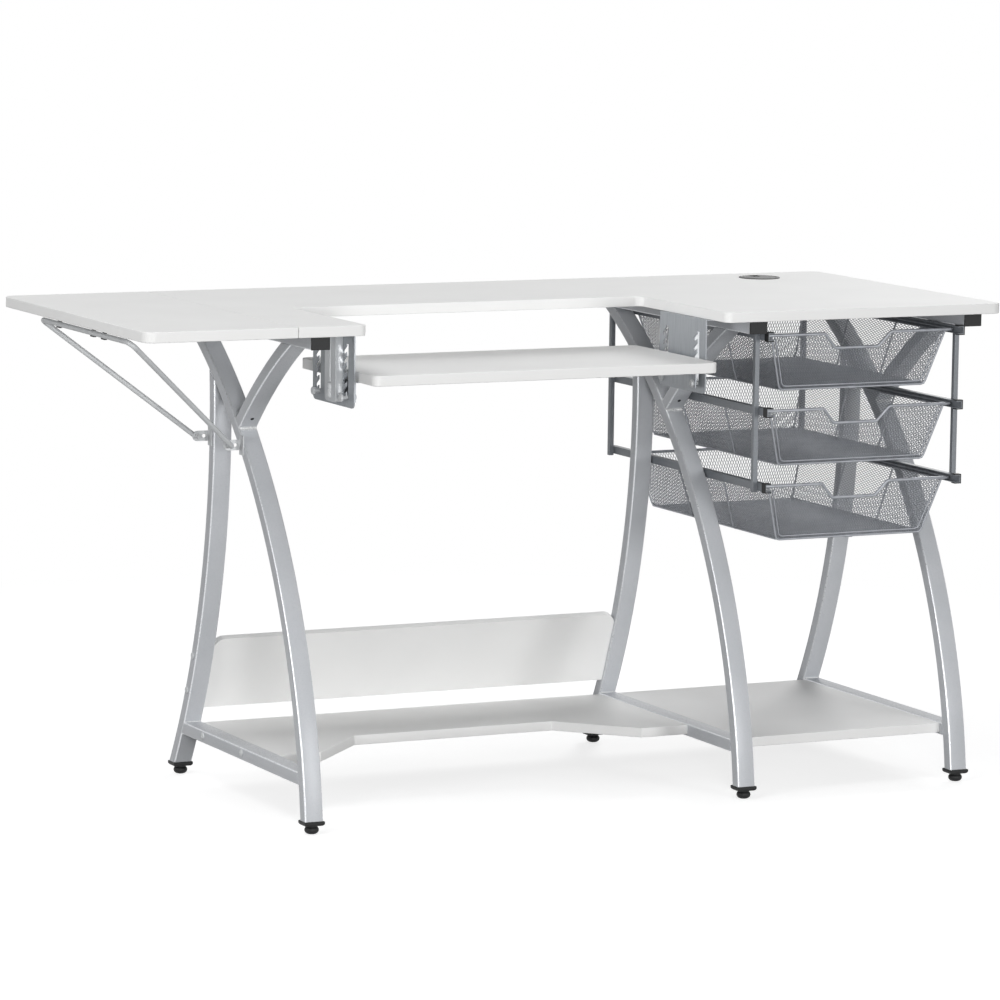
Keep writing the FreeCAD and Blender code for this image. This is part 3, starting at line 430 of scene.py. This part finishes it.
def rounded_section(width, depth, corner, steps=5):
    """Points round a rectangle whose corners are quarter circles."""
    angle = np.linspace(0, np.pi / 2, steps + 1)
    quarter = corner * np.stack([np.cos(angle), np.sin(angle)], -1)
    rows = []
    for k in range(4):
        turn = k * np.pi / 2
        spin = np.array([[math.cos(turn), -math.sin(turn)], [math.sin(turn), math.cos(turn)]])
        sx, sy = ((1, 1), (-1, 1), (-1, -1), (1, -1))[k]
        rows.append(quarter @ spin.T + np.array([sx * (width / 2 - corner), sy * (depth / 2 - corner)]))
    return np.concatenate(rows)


def eased(node, material, width, segments=2):
    """A CAD node's own shape with its edges rounded: merged, flat faces joined, then a small bevel."""
    mesh = NODES[node].data.copy()
    mesh.name = node + "_eased"
    work = bmesh.new()
    work.from_mesh(mesh)
    bmesh.ops.remove_doubles(work, verts=work.verts, dist=1e-6)
    bmesh.ops.dissolve_limit(work, angle_limit=math.radians(0.5), verts=work.verts, edges=work.edges)
    work.to_mesh(mesh)
    work.free()
    mesh.materials.clear()
    mesh.materials.append(material)
    mesh.shade_smooth()
    mesh.set_sharp_from_angle(angle=math.radians(50))
    obj = bpy.data.objects.new(node + "_eased", mesh)
    bpy.context.scene.collection.objects.link(obj)
    bevel = obj.modifiers.new("edges", "BEVEL")
    bevel.width = width * MM
    bevel.segments = segments
    bevel.limit_method = "ANGLE"
    bevel.angle_limit = math.radians(40)
    bevel.harden_normals = True
    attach(obj, NODES[node]["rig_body"])
    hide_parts(node)


# Boards
for board in ("main_top", "flap", "platform_board", "bottom_shelf", "side_shelf", "modesty_panel"):
    eased(board, WHITE, 1.2, 3)


# Frames
SECTION = rounded_section(TUBE_WIDTH, TUBE_DEPTH, TUBE_CORNER)
# How much painted highlight each point of the section gets along the tube: none on the flats, full in each
# corner's middle
CORNER_HIGHLIGHT = np.tile([0.0, 0.25, 1.0, 1.0, 0.25, 0.0], 4)
ARC_RINGS = 41
VENT_RISE = 16.0
WELD_REACH = 14.0
ARM_WELD, BACK_WELD, RAIL_WELD = 4.0, 2.2, 1.8


def tube_piece(name, points, faces, node):
    """A frame tube; the points inside its corners' arcs carry the edge attribute, which paints a highlight
    along the corners.
    """
    obj = piece(name, points, faces, SILVER, stands_for=[node])
    edge = obj.data.attributes.new("edge", "FLOAT", "POINT")
    edge.data.foreach_set("value", np.tile(CORNER_HIGHLIGHT, len(points) // len(CORNER_HIGHLIGHT)))


def meeting(centre, radius, other, other_radius):
    """Upper crossing of two circles in the side view: along the line of centres, then square to it."""
    centre, other = np.array(centre), np.array(other)
    gap = np.linalg.norm(other - centre)
    run = (other - centre) / gap
    along = (radius ** 2 - other_radius ** 2 + gap ** 2) / (2 * gap)
    square = np.sqrt(radius ** 2 - along ** 2)
    y = centre[0] + along * run[0]
    z = centre[1] + along * run[1]
    up = np.where(run[0] * square >= 0, 1.0, -1.0)
    return y - up * square * run[1], z + up * square * run[0]


def arc_tube(x, centre_y, centre_z, radius, first, last, facing):
    """Section carried round an arc: each corner of it has its own radius and its own two end heights."""
    reach = radius + SECTION[:, 1]
    share = np.linspace(0, 1, ARC_RINGS)[:, None]
    start, end = first(reach), last(reach)
    angle = start + (end - start) * share
    points = np.stack(np.broadcast_arrays(x + SECTION[:, 0] * facing,
                                          centre_y - facing * reach * np.cos(angle),
                                          centre_z + reach * np.sin(angle)), -1)
    return points.reshape(-1, 3), capped(ARC_RINGS, len(SECTION))


def straight_tube(x, ends, z):
    """Section carried from the front end's to the rear end's own place for each of its corners."""
    heights = z + HALF_TUBE + SECTION[:, 1]
    first, last = ends(heights)
    points = np.stack([np.stack([x + SECTION[:, 0], np.broadcast_to(y, heights.shape), heights], -1)
                       for y in (last, first)])
    return points.reshape(-1, 3), capped(2, len(SECTION))


def bead(x, y, z, radius):
    """Weld bead across a tube: a round carried along the seam, swelling at every ripple and drawn in
    at its ends."""
    share = np.linspace(0, 1, 49)
    line = np.array([x - WELD_REACH, y, z]) + np.array([2 * WELD_REACH, 0, 0]) * share[:, None]
    ripples = 9
    swell = 1 + 0.16 * np.sin(share * 2 * np.pi * ripples)
    taper = np.sqrt(np.clip(1 - (2 * share - 1) ** 8, 0.05, 1))
    return round_rod(line, radius * swell * taper, 10)


def vent_shade_disc(side, x):
    """Vent hole on the arm's front face, just above the weld: a dark disc with a turned-in lip, painted
    shade standing in for the open hole.
    """
    low = meeting((ARM_Y, LEG_Z), LEG_R, (LEG_Y, LEG_Z), LEG_R + HALF_TUBE)[1]
    angle = math.asin((low + VENT_RISE - LEG_Z) / LEG_R)
    reach = LEG_R - HALF_TUBE
    outward = (0.0, -math.cos(angle), -math.sin(angle))
    centre = (x, ARM_Y + reach * math.cos(angle), LEG_Z + reach * math.sin(angle))
    lip = [(0.0, 0.05), (1.9, 0.05), (2.3, 0.3), (2.7, 0.3), (2.9, 0.0), (2.9, -0.6), (0.0, -0.6)]
    # The black disc is painted shade where the hole opens into the tube
    piece(side + "_vent_shade_disc", *turned(lip, centre, outward, 24), BLACK)


def make_frame(side, x):
    """One frame: each tube ends on the face of the tube that it meets, with a weld across each seam."""
    def level(z, centre_z):
        """Angle at which each corner of the section is at a height: by the arc sine of rise over radius."""
        return lambda reach: np.arcsin((z - centre_z) / reach)

    leg = arc_tube(x, LEG_Y, LEG_Z, LEG_R, level(FOOT, LEG_Z), level(RAIL_UNDER, LEG_Z), 1)
    tube_piece(side + "_front_leg_tube", *leg, side + "_front_leg")

    def back_head(reach):
        """Angle at which each corner meets the front leg's rear face."""
        y, z = meeting((BACK_Y, BACK_Z), reach, (LEG_Y, LEG_Z), LEG_R - HALF_TUBE)
        return np.arctan2(z - BACK_Z, BACK_Y - y)
    back = arc_tube(x, BACK_Y, BACK_Z, BACK_R, level(FOOT, BACK_Z), back_head, 1)
    tube_piece(side + "_rear_leg_tube", *back, side + "_rear_leg")

    def arm_foot(reach):
        """Angle at which each corner meets the front leg's front face."""
        y, z = meeting((ARM_Y, LEG_Z), reach, (LEG_Y, LEG_Z), LEG_R + HALF_TUBE)
        return np.arctan2(z - LEG_Z, y - ARM_Y)
    arm = arc_tube(x, ARM_Y, LEG_Z, LEG_R, arm_foot, level(RAIL_UNDER, LEG_Z), -1)
    tube_piece(side + "_upper_arm_tube", *arm, side + "_upper_arm")

    def rail_ends(z):
        """The front leg's rear face and the rear leg's front face, at a height."""
        front = LEG_Y - np.sqrt((LEG_R - HALF_TUBE) ** 2 - (z - LEG_Z) ** 2)
        return front, BACK_Y - np.sqrt((BACK_R + HALF_TUBE) ** 2 - (z - BACK_Z) ** 2)
    tube_piece(side + "_lower_rail_tube", *straight_tube(x, rail_ends, LOWER_RAIL_Z), side + "_lower_rail")
    top = straight_tube(x, lambda z: (FRONT + TOP_RAIL_INSET, REAR - TOP_RAIL_INSET), RAIL_UNDER)
    tube_piece(side + "_top_rail_tube", *top, side + "_top_rail")
    beads = []
    for offset in (-HALF_TUBE, HALF_TUBE):
        y, z = meeting((ARM_Y, LEG_Z), LEG_R + offset, (LEG_Y, LEG_Z), LEG_R + HALF_TUBE)
        beads.append(bead(x, y, z, ARM_WELD))
        y, z = meeting((BACK_Y, BACK_Z), BACK_R + offset, (LEG_Y, LEG_Z), LEG_R - HALF_TUBE)
        beads.append(bead(x, y, z, BACK_WELD))
    for z in (LOWER_RAIL_Z, LOWER_RAIL_Z + TUBE_DEPTH):
        for y in rail_ends(z):
            beads.append(bead(x, y, z, RAIL_WELD))
    piece(side + "_frame_welds", *gather(beads), WELD, sharp=80)
    vent_shade_disc(side, x)


for side, x in FRAMES.items():
    make_frame(side, x)

eased("rail_end_caps", BLACK, 1.0, 3)
eased("foot_caps", BLACK, 1.0, 3)


def glide(x, y):
    """Screw-in glide: a ball flattened at its sole, with a short neck up to the cap."""
    arc = np.linspace(0, 0.72 * np.pi, 15)
    ball = np.stack([3.5 + 7.5 * np.sin(arc), 6.4 - 6.4 * np.cos(arc)], -1)
    neck = [(8.6, 11.2), (8.6, 13.0), (0.0, 13.0)]
    return turned(np.concatenate([[(0.0, 0.0)], ball, neck]), (x, y, 0.0))


glides = [glide(x, y) for x in FRAMES.values() for y in (leg_y(FOOT), back_y(FOOT))]
piece("moulded_glides", *gather(glides), BLACK, stands_for=["foot_glides"])


# Screws
def cross_head(centre, axis, radius, height, sides=48):
    """Pan head on a level axis: a dome of revolution with a cross pressed into it, as a depth that
    depends on both angle and radius."""
    axis = np.array(axis, float)
    across = np.array([0, 0, 1.0])
    along = np.cross(axis, across)
    share = np.array([0.02, 0.12, 0.22, 0.34, 0.46, 0.52, 0.62, 0.74, 0.86, 0.95, 1.0, 1.0])
    rise = height * np.sqrt(np.clip(1 - 0.82 * share ** 4, 0, 1))
    rise[-1] = 0.0
    angle = np.linspace(0, 2 * np.pi, sides, endpoint=False)
    u = radius * share[:, None] * np.cos(angle)
    v = radius * share[:, None] * np.sin(angle)
    near = np.minimum(np.abs(u), np.abs(v))
    cross = (near < 0.16 * radius) & (share[:, None] < 0.5)
    depth = rise[:, None] - 0.45 * height * cross
    points = np.array(centre) + u[..., None] * across + v[..., None] * along + depth[..., None] * axis
    faces = [f[::-1] for f in grid(len(share), sides)]
    return points.reshape(-1, 3), faces + [list(range(sides))]


def side_screw(side, y, z):
    """A panel screw's head on an outer frame's outer face."""
    out = -1 if side == "left" else 1
    return cross_head((FRAMES[side] + out * TUBE_WIDTH / 2, y, z), (out, 0, 0), SCREW_RADIUS, SCREW_RISE)


screws = []
for part in (-0.5, 0.5):
    screws.append(side_screw("left", LEFT_SHELF_Y + part * SHELF_SCREW_GAP, SHELF_SCREW_Z))
    z = (PANEL_LOW + PANEL_HIGH) / 2 + part * PANEL_SCREW_GAP
    # The modesty panel stands on the chord of the rear leg's bow
    y = np.interp(z, (PANEL_LOW, PANEL_HIGH), (back_y(PANEL_LOW), back_y(PANEL_HIGH)))
    screws.append(side_screw("left", y, z))
    screws.append(side_screw("right", RIGHT_SHELF_Y + part * SHELF_SCREW_GAP, SHELF_SCREW_Z))
piece("panel_screw_heads", *gather(screws), ZINC, stands_for=["panel_screws"])


# Drop platform: brackets, channels, hangers and studs
for side in ("left", "right"):
    eased(side + "_slot_bracket", SHEET, 0.35)
    eased(side + "_bracket_channel", PLATED, 0.5)
    eased(side + "_platform_hanger", SHEET, 0.4)


def opposite(parts):
    """The same shape on the other side of the opening, with its faces turned back outwards."""
    points, faces = parts
    return points * np.array([-1, 1, 1]) + np.array([2 * OPEN_MID, 0, 0]), [f[::-1] for f in faces]


def stud(y):
    """Headed stud with a shoulder, its washer and a six-sided nut behind the hanger."""
    shank = [(0.0, -4.0), (5.2, -4.0), (6.0, -3.3), (6.0, -0.6), (5.6, 0.0), (3.0, 0.2), (3.0, 22.0),
             (0.0, 22.0)]
    washer = [(3.0, 0.0), (6.4, 0.0), (6.4, 1.0), (3.0, 1.0)]
    nut = [(0.0, 0.0), (4.6, 0.0), (5.0, 0.5), (5.0, 2.3), (4.4, 2.8), (0.0, 2.8)]
    return [turned(profile, (x, y, STUD_Z), (1, 0, 0), sides)
            for profile, x, sides in ((shank, STUD_HEAD_X, 28), (washer, WASHER_X, 28), (nut, NUT_X, 6))]


studs = [part for y in STUD_YS for part in stud(y)]
piece("zinc_studs", *gather(studs + [opposite(s) for s in studs]), ZINC, "platform", ["platform_studs"],
      sharp=30)


def channel_fitting():
    """Catch pin on the channel's web: a flattened turned pin with two grooves and a rounded foot."""
    arc = np.linspace(0, np.pi / 2, 7)
    foot = np.stack([4.4 * np.sin(arc), 4.0 - 4.0 * np.cos(arc)], -1)
    stem = [(4.4, 8.0), (3.7, 8.6), (3.7, 9.6), (4.4, 10.2), (4.4, 13.4), (3.7, 14.0), (3.7, 15.0),
            (4.4, 15.6), (4.4, 21.6), (3.4, 22.8), (0.0, 23.0)]
    points, faces = turned(np.concatenate([foot, stem]), (0.0, 0.0, 0.0), sides=28)
    return points * np.array([0.9, 1.0, 1.0]) + np.array([CHANNEL_X, CHANNEL_Y, PIN_FOOT_Z]), faces


pin = channel_fitting()
piece("catch_pins", *gather([pin, opposite(pin)]), ZINC, stands_for=["channel_bolts"])
crease_line = [(CHANNEL_X + 0.3, CHANNEL_Y, z) for z in np.linspace(CREASE_LOW, CREASE_HIGH, 9)]
crease = round_rod(crease_line, 1.1, 10)
piece("channel_creases", *gather([crease, opposite(crease)]), PLATED)


# Flap: hinges, clips and bail
for node in ("table_hinge_leaves", "flap_hinge_leaves", "hinge_pins"):
    eased(node, ZINC, 0.25)
eased("bail_clips", BLACK, 0.5)
for node in ("front_bail_bracket", "rear_bail_bracket"):
    eased(node, ZINC, 0.3)

front_tab, rear_tab = leg_y(PIVOT_Z) + FRONT_TAB_SHIFT, back_y(PIVOT_Z) + REAR_TAB_SHIFT
bail_corners = [(PIVOT_X, front_tab + BAIL_END, PIVOT_Z), (PIVOT_X, front_tab - BAIL_SHOULDER, PIVOT_Z),
                (CROSSBAR_X, CROSSBAR_FRONT, CROSSBAR_Z), (CROSSBAR_X, CROSSBAR_REAR, CROSSBAR_Z),
                (PIVOT_X, rear_tab + BAIL_SHOULDER, PIVOT_Z), (PIVOT_X, rear_tab - BAIL_END, PIVOT_Z)]
bail_bends = (BAIL_END_BEND, CROSSBAR_BEND, CROSSBAR_BEND, BAIL_END_BEND)
bail_path = stepped(smooth_path(bail_corners, bail_bends, 10), BAIL_RING_STEP)
piece("bail_rod", *round_rod(bail_path, BAIL_RADIUS, 44), ZINC, "bail", ["bail"], sharp=60)


# Drawer unit
for side in ("left", "right"):
    for place in ("front", "rear"):
        eased("%s_%s_post" % (side, place), GREY, 0.8)
    for level in LEVELS:
        eased("%s_%s_runner" % (level, side), GREY, 0.25)
eased("runner_stops", BLACK, 0.4)

# Expanded metal: diamonds 10.6 mm by 4.5 mm between strands 1.05 mm wide. The sheet's long way runs from
# the front to the rear, so it stands upright on the walls that are folded up at the front and the rear
LONG_WAY, SHORT_WAY = 10.6, 4.5
STRAND, STRAND_BACK, STRAND_RIDGE = 1.05, 0.4, 0.55
FLOOR_LIFT = 0.6
# Wires: their radii, the bends at their corners, and how far they lie outside, inside and under the mesh
FRONT_WIRE, REAR_WIRE, INNER_WIRE, FLOOR_WIRE = 1.7, 1.5, 1.3, 1.5
RIM_BEND, DIP_BEND, WALL_BEND, FLOOR_BEND = 6.0, 7.0, 9.0, 7.0
WIRE_OUT, INNER_SET, WALL_DROP, FLOOR_DROP = 1.3, 5.0, (0, 0, 1.0), (0, 0, 1.6)


def lattice(length, height, upright):
    """Strand ends of a diamond mesh on a flat sheet: every other row is set half a diamond along,
    and each crossing is joined to the two above it."""
    along, across = (SHORT_WAY, LONG_WAY) if upright else (LONG_WAY, SHORT_WAY)
    columns = max(2, round(length / along))
    rows = 2 * max(1, round(height / across))
    j, i = np.meshgrid(np.arange(rows), np.arange(columns + 1), indexing="ij")
    shift = 0.5 * (j % 2)
    start = np.stack([(i + shift) / columns, j / rows], -1)
    ends = []
    for step in (-0.5, 0.5):
        stop = start + np.stack([np.full(j.shape, step / columns), np.full(j.shape, 1.0 / rows)], -1)
        pairs = np.stack([start, stop], 2).reshape(-1, 2, 2)
        inside = (pairs[..., 0] > -1e-6).all(1) & (pairs[..., 0] < 1 + 1e-6).all(1)
        ends.append(pairs[inside])
    return np.concatenate(ends)


def mesh_panel(corners, upright=False, keep=None):
    """Lattice stretched over four corners, between the lower and the upper edge, each strand a small
    three-sided bar."""
    corners = np.array(corners, float)
    low0, low1, high1, high0 = corners
    length = (np.linalg.norm(low1 - low0) + np.linalg.norm(high1 - high0)) / 2
    ends = lattice(length, np.linalg.norm(high0 - low0), upright)
    u, v = ends[..., :1], ends[..., 1:]
    points = (low0 * (1 - u) + low1 * u) * (1 - v) + (high0 * (1 - u) + high1 * u) * v
    if keep is not None:
        points = points[keep(points.mean(1))]
    normal = np.cross(low1 - low0, high0 - low0)
    normal /= np.linalg.norm(normal)
    run = points[:, 1] - points[:, 0]
    run /= np.linalg.norm(run, axis=1)[:, None]
    side = np.cross(normal, run)
    back = normal * STRAND_BACK
    spread = np.stack([side * STRAND / 2 - back, -side * STRAND / 2 - back,
                       np.broadcast_to(normal * STRAND_RIDGE, side.shape)], 1)
    bars = points[:, :, None, :] + spread[:, None, :, :]
    count = len(bars)
    base = np.arange(count)[:, None] * 6
    pattern = np.array([[0, 1, 4, 3], [1, 2, 5, 4], [2, 0, 3, 5]])
    quads = (base[:, :, None] + pattern[None]).reshape(-1, 4).tolist()
    ends = (base[:, :, None] + np.array([[0, 2, 1], [3, 4, 5]])[None]).reshape(-1, 3).tolist()
    return bars.reshape(-1, 3), quads + ends


def basket_outline(z, share, out=0.0):
    """Corners of the tub at a share of its depth, from the rim down to the floor: front left, front right,
    rear right, rear left."""
    x = WALL_X - SIDE_TAPER * share + out
    front, rear = BASKET_FRONT + END_TAPER * share - out, BASKET_REAR - END_TAPER * share + out
    height = z - RIM_RADIUS - (BASKET_HEIGHT - RIM_RADIUS - FLOOR_LIFT) * share
    return np.array([(UNIT_MID - x, front, height), (UNIT_MID + x, front, height),
                     (UNIT_MID + x, rear, height), (UNIT_MID - x, rear, height)])


def basket(level, z):
    """One basket: mesh on its four walls, its floor and the two ledges that ride in the runners, then its
    rim and wires. The front wall is left open inside the finger dip."""
    body = level + "_basket"
    top, low = basket_outline(z, 0.0), basket_outline(z, 1.0)

    def beside_dip(points):
        """True below the finger dip and beyond its sloping sides."""
        drop = np.clip((z - points[:, 2]) / DIP_DEPTH, 0, None)
        half = DIP_TOP / 2 - (DIP_TOP - DIP_BOTTOM) / 2 * drop
        return (drop > 1.0) | (np.abs(points[:, 0] - UNIT_MID) > half)
    panels = [mesh_panel([low[0], low[1], top[1], top[0]], True, beside_dip)]
    for k in (1, 2, 3):
        m = (k + 1) % 4
        panels.append(mesh_panel([low[k], low[m], top[m], top[k]], k == 2))
    panels.append(mesh_panel([low[0], low[3], low[2], low[1]]))
    for i, sign in ((1, 1), (0, -1)):
        wall, rim = top[[i, 3 - i]], top[[i, 3 - i]].copy()
        rim[:, 0] = UNIT_MID + sign * RIM_X
        panels.append(mesh_panel([wall[0], wall[1], rim[1], rim[0]]))
    piece(level + "_expanded_mesh", *gather(panels), MESH, body, [level + "_basket_tray"], sharp=20)
    rim_line(level, z)
    basket_wires(level, z)


def rim_line(level, z):
    """Rim wire: a closed loop with the finger dip bent into its front run."""
    lean = END_TAPER * DIP_DEPTH / BASKET_HEIGHT
    y0, y1 = BASKET_FRONT, BASKET_REAR
    start = (UNIT_MID - RIM_X, (y0 + y1) / 2, z)
    corners = [start, (UNIT_MID - RIM_X, y0, z), (UNIT_MID - DIP_TOP / 2, y0, z),
               (UNIT_MID - DIP_BOTTOM / 2, y0 + lean, z - DIP_DEPTH),
               (UNIT_MID + DIP_BOTTOM / 2, y0 + lean, z - DIP_DEPTH),
               (UNIT_MID + DIP_TOP / 2, y0, z), (UNIT_MID + RIM_X, y0, z), (UNIT_MID + RIM_X, y1, z),
               (UNIT_MID - RIM_X, y1, z), start]
    bends = [RIM_BEND] + 4 * [DIP_BEND] + 3 * [RIM_BEND]
    path = smooth_path(corners, bends, 6)[:-1]
    piece(level + "_rim_wire", *round_rod(path, RIM_RADIUS, 14, True), MESH, level + "_basket",
          [level + "_basket_rim"], sharp=60)


def basket_wires(level, z):
    """Wires of the tub: bows round the front and the rear wall, one inside the front wall, the floor's
    side edges, two bows under it and a crimped sleeve where the front bow's ends meet."""
    wires = []
    top, low = basket_outline(z, 0.0, WIRE_OUT), basket_outline(z, 1.0, WIRE_OUT)
    for first, last, radius in ((0, 1, FRONT_WIRE), (3, 2, REAR_WIRE)):
        corners = [top[first], low[first] - WALL_DROP, low[last] - WALL_DROP, top[last]]
        wires.append(round_rod(smooth_path(corners, 2 * [WALL_BEND], 8), radius, 10))
    inner_top, inner_low = basket_outline(z, 0.04, -INNER_SET), basket_outline(z, 0.95, -INNER_SET)
    inner_top[:, 1] = top[:, 1] + 0.6
    inner_low[:, 1] = low[:, 1] + 0.2
    corners = [inner_top[0], inner_low[0], inner_low[1], inner_top[1]]
    wires.append(round_rod(smooth_path(corners, 2 * [WALL_BEND], 8), INNER_WIRE, 10))
    for first, last in ((0, 3), (1, 2)):
        wires.append(round_rod([low[first], low[last]], FLOOR_WIRE, 10))
    for share in (1 / 3, 2 / 3):
        left_top, right_top = top[:2] + (top[[3, 2]] - top[:2]) * share
        left_low, right_low = low[:2] + (low[[3, 2]] - low[:2]) * share
        corners = [left_top, left_low - FLOOR_DROP, right_low - FLOOR_DROP, right_top]
        wires.append(round_rod(smooth_path(corners, 2 * [FLOOR_BEND], 6), FLOOR_WIRE, 10))
    joint = (low[0] + low[1]) / 2 - WALL_DROP
    sleeve = [joint + [x, 0, 0] for x in (-7.0, -6.0, 6.0, 7.0)]
    wires.append(round_rod(sleeve, np.array([1.8, 2.5, 2.5, 1.8]), 12))
    piece(level + "_tub_wires", *gather(wires), MESH, level + "_basket", sharp=60)


for level, z in LEVELS.items():
    basket(level, z)


# Cable grommet
ring = [(24.5, -24.0), (29.4, -24.0), (30.0, -23.2), (30.0, 0.0), (33.6, 0.0), (34.0, 0.4), (33.4, 1.2),
        (31.6, 1.5), (27.6, 1.5), (27.0, 1.1), (27.0, -1.5), (24.5, -1.5)]
points, faces = turned(ring + ring[:1], (*GROMMET, HEIGHT), sides=72)
piece("grommet_ring", points, [f for f in faces if len(f) == 4], BLACK, stands_for=["grommet_sleeve"])
eased("grommet_cap", BLACK, 0.5, 3)


# Floor, light and camera
def seen_ray(tree):
    """One for a ray that shows a surface to the eye: from the camera, a mirror or a pane; else nought."""
    path = add(tree, "LightPath")
    seen = add(tree, "Math", {0: path.outputs["Is Camera Ray"], 1: path.outputs["Is Glossy Ray"]},
               operation="MAXIMUM")
    seen = add(tree, "Math", {0: seen.outputs[0], 1: path.outputs["Is Transmission Ray"]},
               operation="MAXIMUM")
    return seen.outputs[0]


def make_floor():
    """Pale floor: white to the eye and in reflections, faintly grey in the object's shadow, and plain white
    from two metres out. Light that it scatters back is kept low, so that dark sides stay dark."""
    material, tree, place = new_material("pale_floor")
    white = add(tree, "Emission", {"Color": (1, 1, 1, 1), "Strength": 1.0}).outputs[0]
    base = add(tree, "Emission", {"Color": (1, 1, 1, 1), "Strength": 0.76}).outputs[0]
    lit = add(tree, "BsdfDiffuse", {"Color": linear("#B9B9B9")}).outputs[0]
    shadowed = add(tree, "AddShader", {0: base, 1: lit}).outputs[0]
    distance = add(tree, "VectorMath", {0: place}, operation="LENGTH").outputs["Value"]
    away = add(tree, "MapRange", {"Value": distance, "From Min": 1.2, "From Max": 2.2}).outputs["Result"]
    shown = add(tree, "MixShader", {0: away, 1: shadowed, 2: white}).outputs[0]
    bounce = add(tree, "BsdfDiffuse", {"Color": linear("#6E6E6E")}).outputs[0]
    both = add(tree, "MixShader", {0: seen_ray(tree), 1: bounce, 2: shown}).outputs[0]
    add(tree, "OutputMaterial", {"Surface": both})
    size = 40.0
    corners = [(-size, -size, 0), (size, -size, 0), (size, size, 0), (-size, size, 0)]
    mesh = bpy.data.meshes.new("floor")
    mesh.from_pydata(corners, [], [(0, 1, 2, 3)])
    mesh.materials.append(material)
    floor = bpy.data.objects.new("floor", mesh)
    bpy.context.scene.collection.objects.link(floor)


def make_world():
    """White to the eye and in reflections, a soft grey to everything that scatters light."""
    world = bpy.data.worlds.new("studio")
    bpy.context.scene.world = world
    world.use_nodes = True
    tree = world.node_tree
    tree.nodes.clear()
    soft_grey = (0.15, 0.152, 0.155, 1)
    colour = add(tree, "Mix", {0: seen_ray(tree), 6: soft_grey, 7: (1, 1, 1, 1)}, data_type="RGBA")
    back = add(tree, "Background", {"Color": colour.outputs[2], "Strength": 1.0})
    add(tree, "OutputWorld", {"Surface": back.outputs["Background"]})


def lamp(name, place, aim, width, power):
    """A round softbox, aimed at a height on the table's middle line."""
    light = bpy.data.lights.new(name, "AREA")
    light.shape = "ELLIPSE"
    light.size = width
    light.size_y = width
    light.energy = power
    obj = bpy.data.objects.new(name, light)
    obj.visible_camera = False
    bpy.context.scene.collection.objects.link(obj)
    obj.location = place
    obj.rotation_mode = "QUATERNION"
    obj.rotation_quaternion = (Vector((0, 0, aim)) - Vector(place)).to_track_quat("-Z", "Y")


make_floor()
make_world()
lamp("right_softbox", (1.8, -5.2, 0.95), 0.4, 1.2, 86.0)
lamp("left_softbox", (-1.8, -5.1, 0.95), 0.4, 1.2, 98.0)
lamp("side_softbox", (-4.4, -1.2, 1.3), 0.5, 1.8, 50.0)
lamp("top_softbox", (-2.1, -0.5, 4.1), 0.5, 2.4, 62.0)
lamp("rear_softbox", (3.4, 3.2, 3.3), 0.4, 2.2, 100.0)

# Camera at the photograph's angle: 25.9 degrees to the left of the front, 7.7 degrees above level
YAW, PITCH, ROLL = math.radians(25.8566), math.radians(7.6624), math.radians(0.741)
STAND = Vector((-3.3645, -6.9302, 1.4838))
FOCAL_PIXELS, IMAGE, SENSOR = 4970.3, 1000.0, 36.0
camera = bpy.data.cameras.new("camera")
camera.sensor_width = SENSOR
camera.lens = FOCAL_PIXELS * SENSOR / IMAGE
camera.clip_start, camera.clip_end = 0.1, 200.0
view = bpy.data.objects.new("camera", camera)
bpy.context.scene.collection.objects.link(view)
ahead = Vector((math.sin(YAW) * math.cos(PITCH), math.cos(YAW) * math.cos(PITCH), -math.sin(PITCH)))
level_right = Vector((math.cos(YAW), -math.sin(YAW), 0.0))
level_up = level_right.cross(ahead)
right = level_right * math.cos(ROLL) + level_up * math.sin(ROLL)
up = level_up * math.cos(ROLL) - level_right * math.sin(ROLL)
turn = Matrix((right, up, -ahead)).transposed().to_4x4()
view.matrix_world = Matrix.Translation(STAND) @ turn
bpy.context.scene.camera = view
bpy.context.scene.view_settings.view_transform = "Standard"
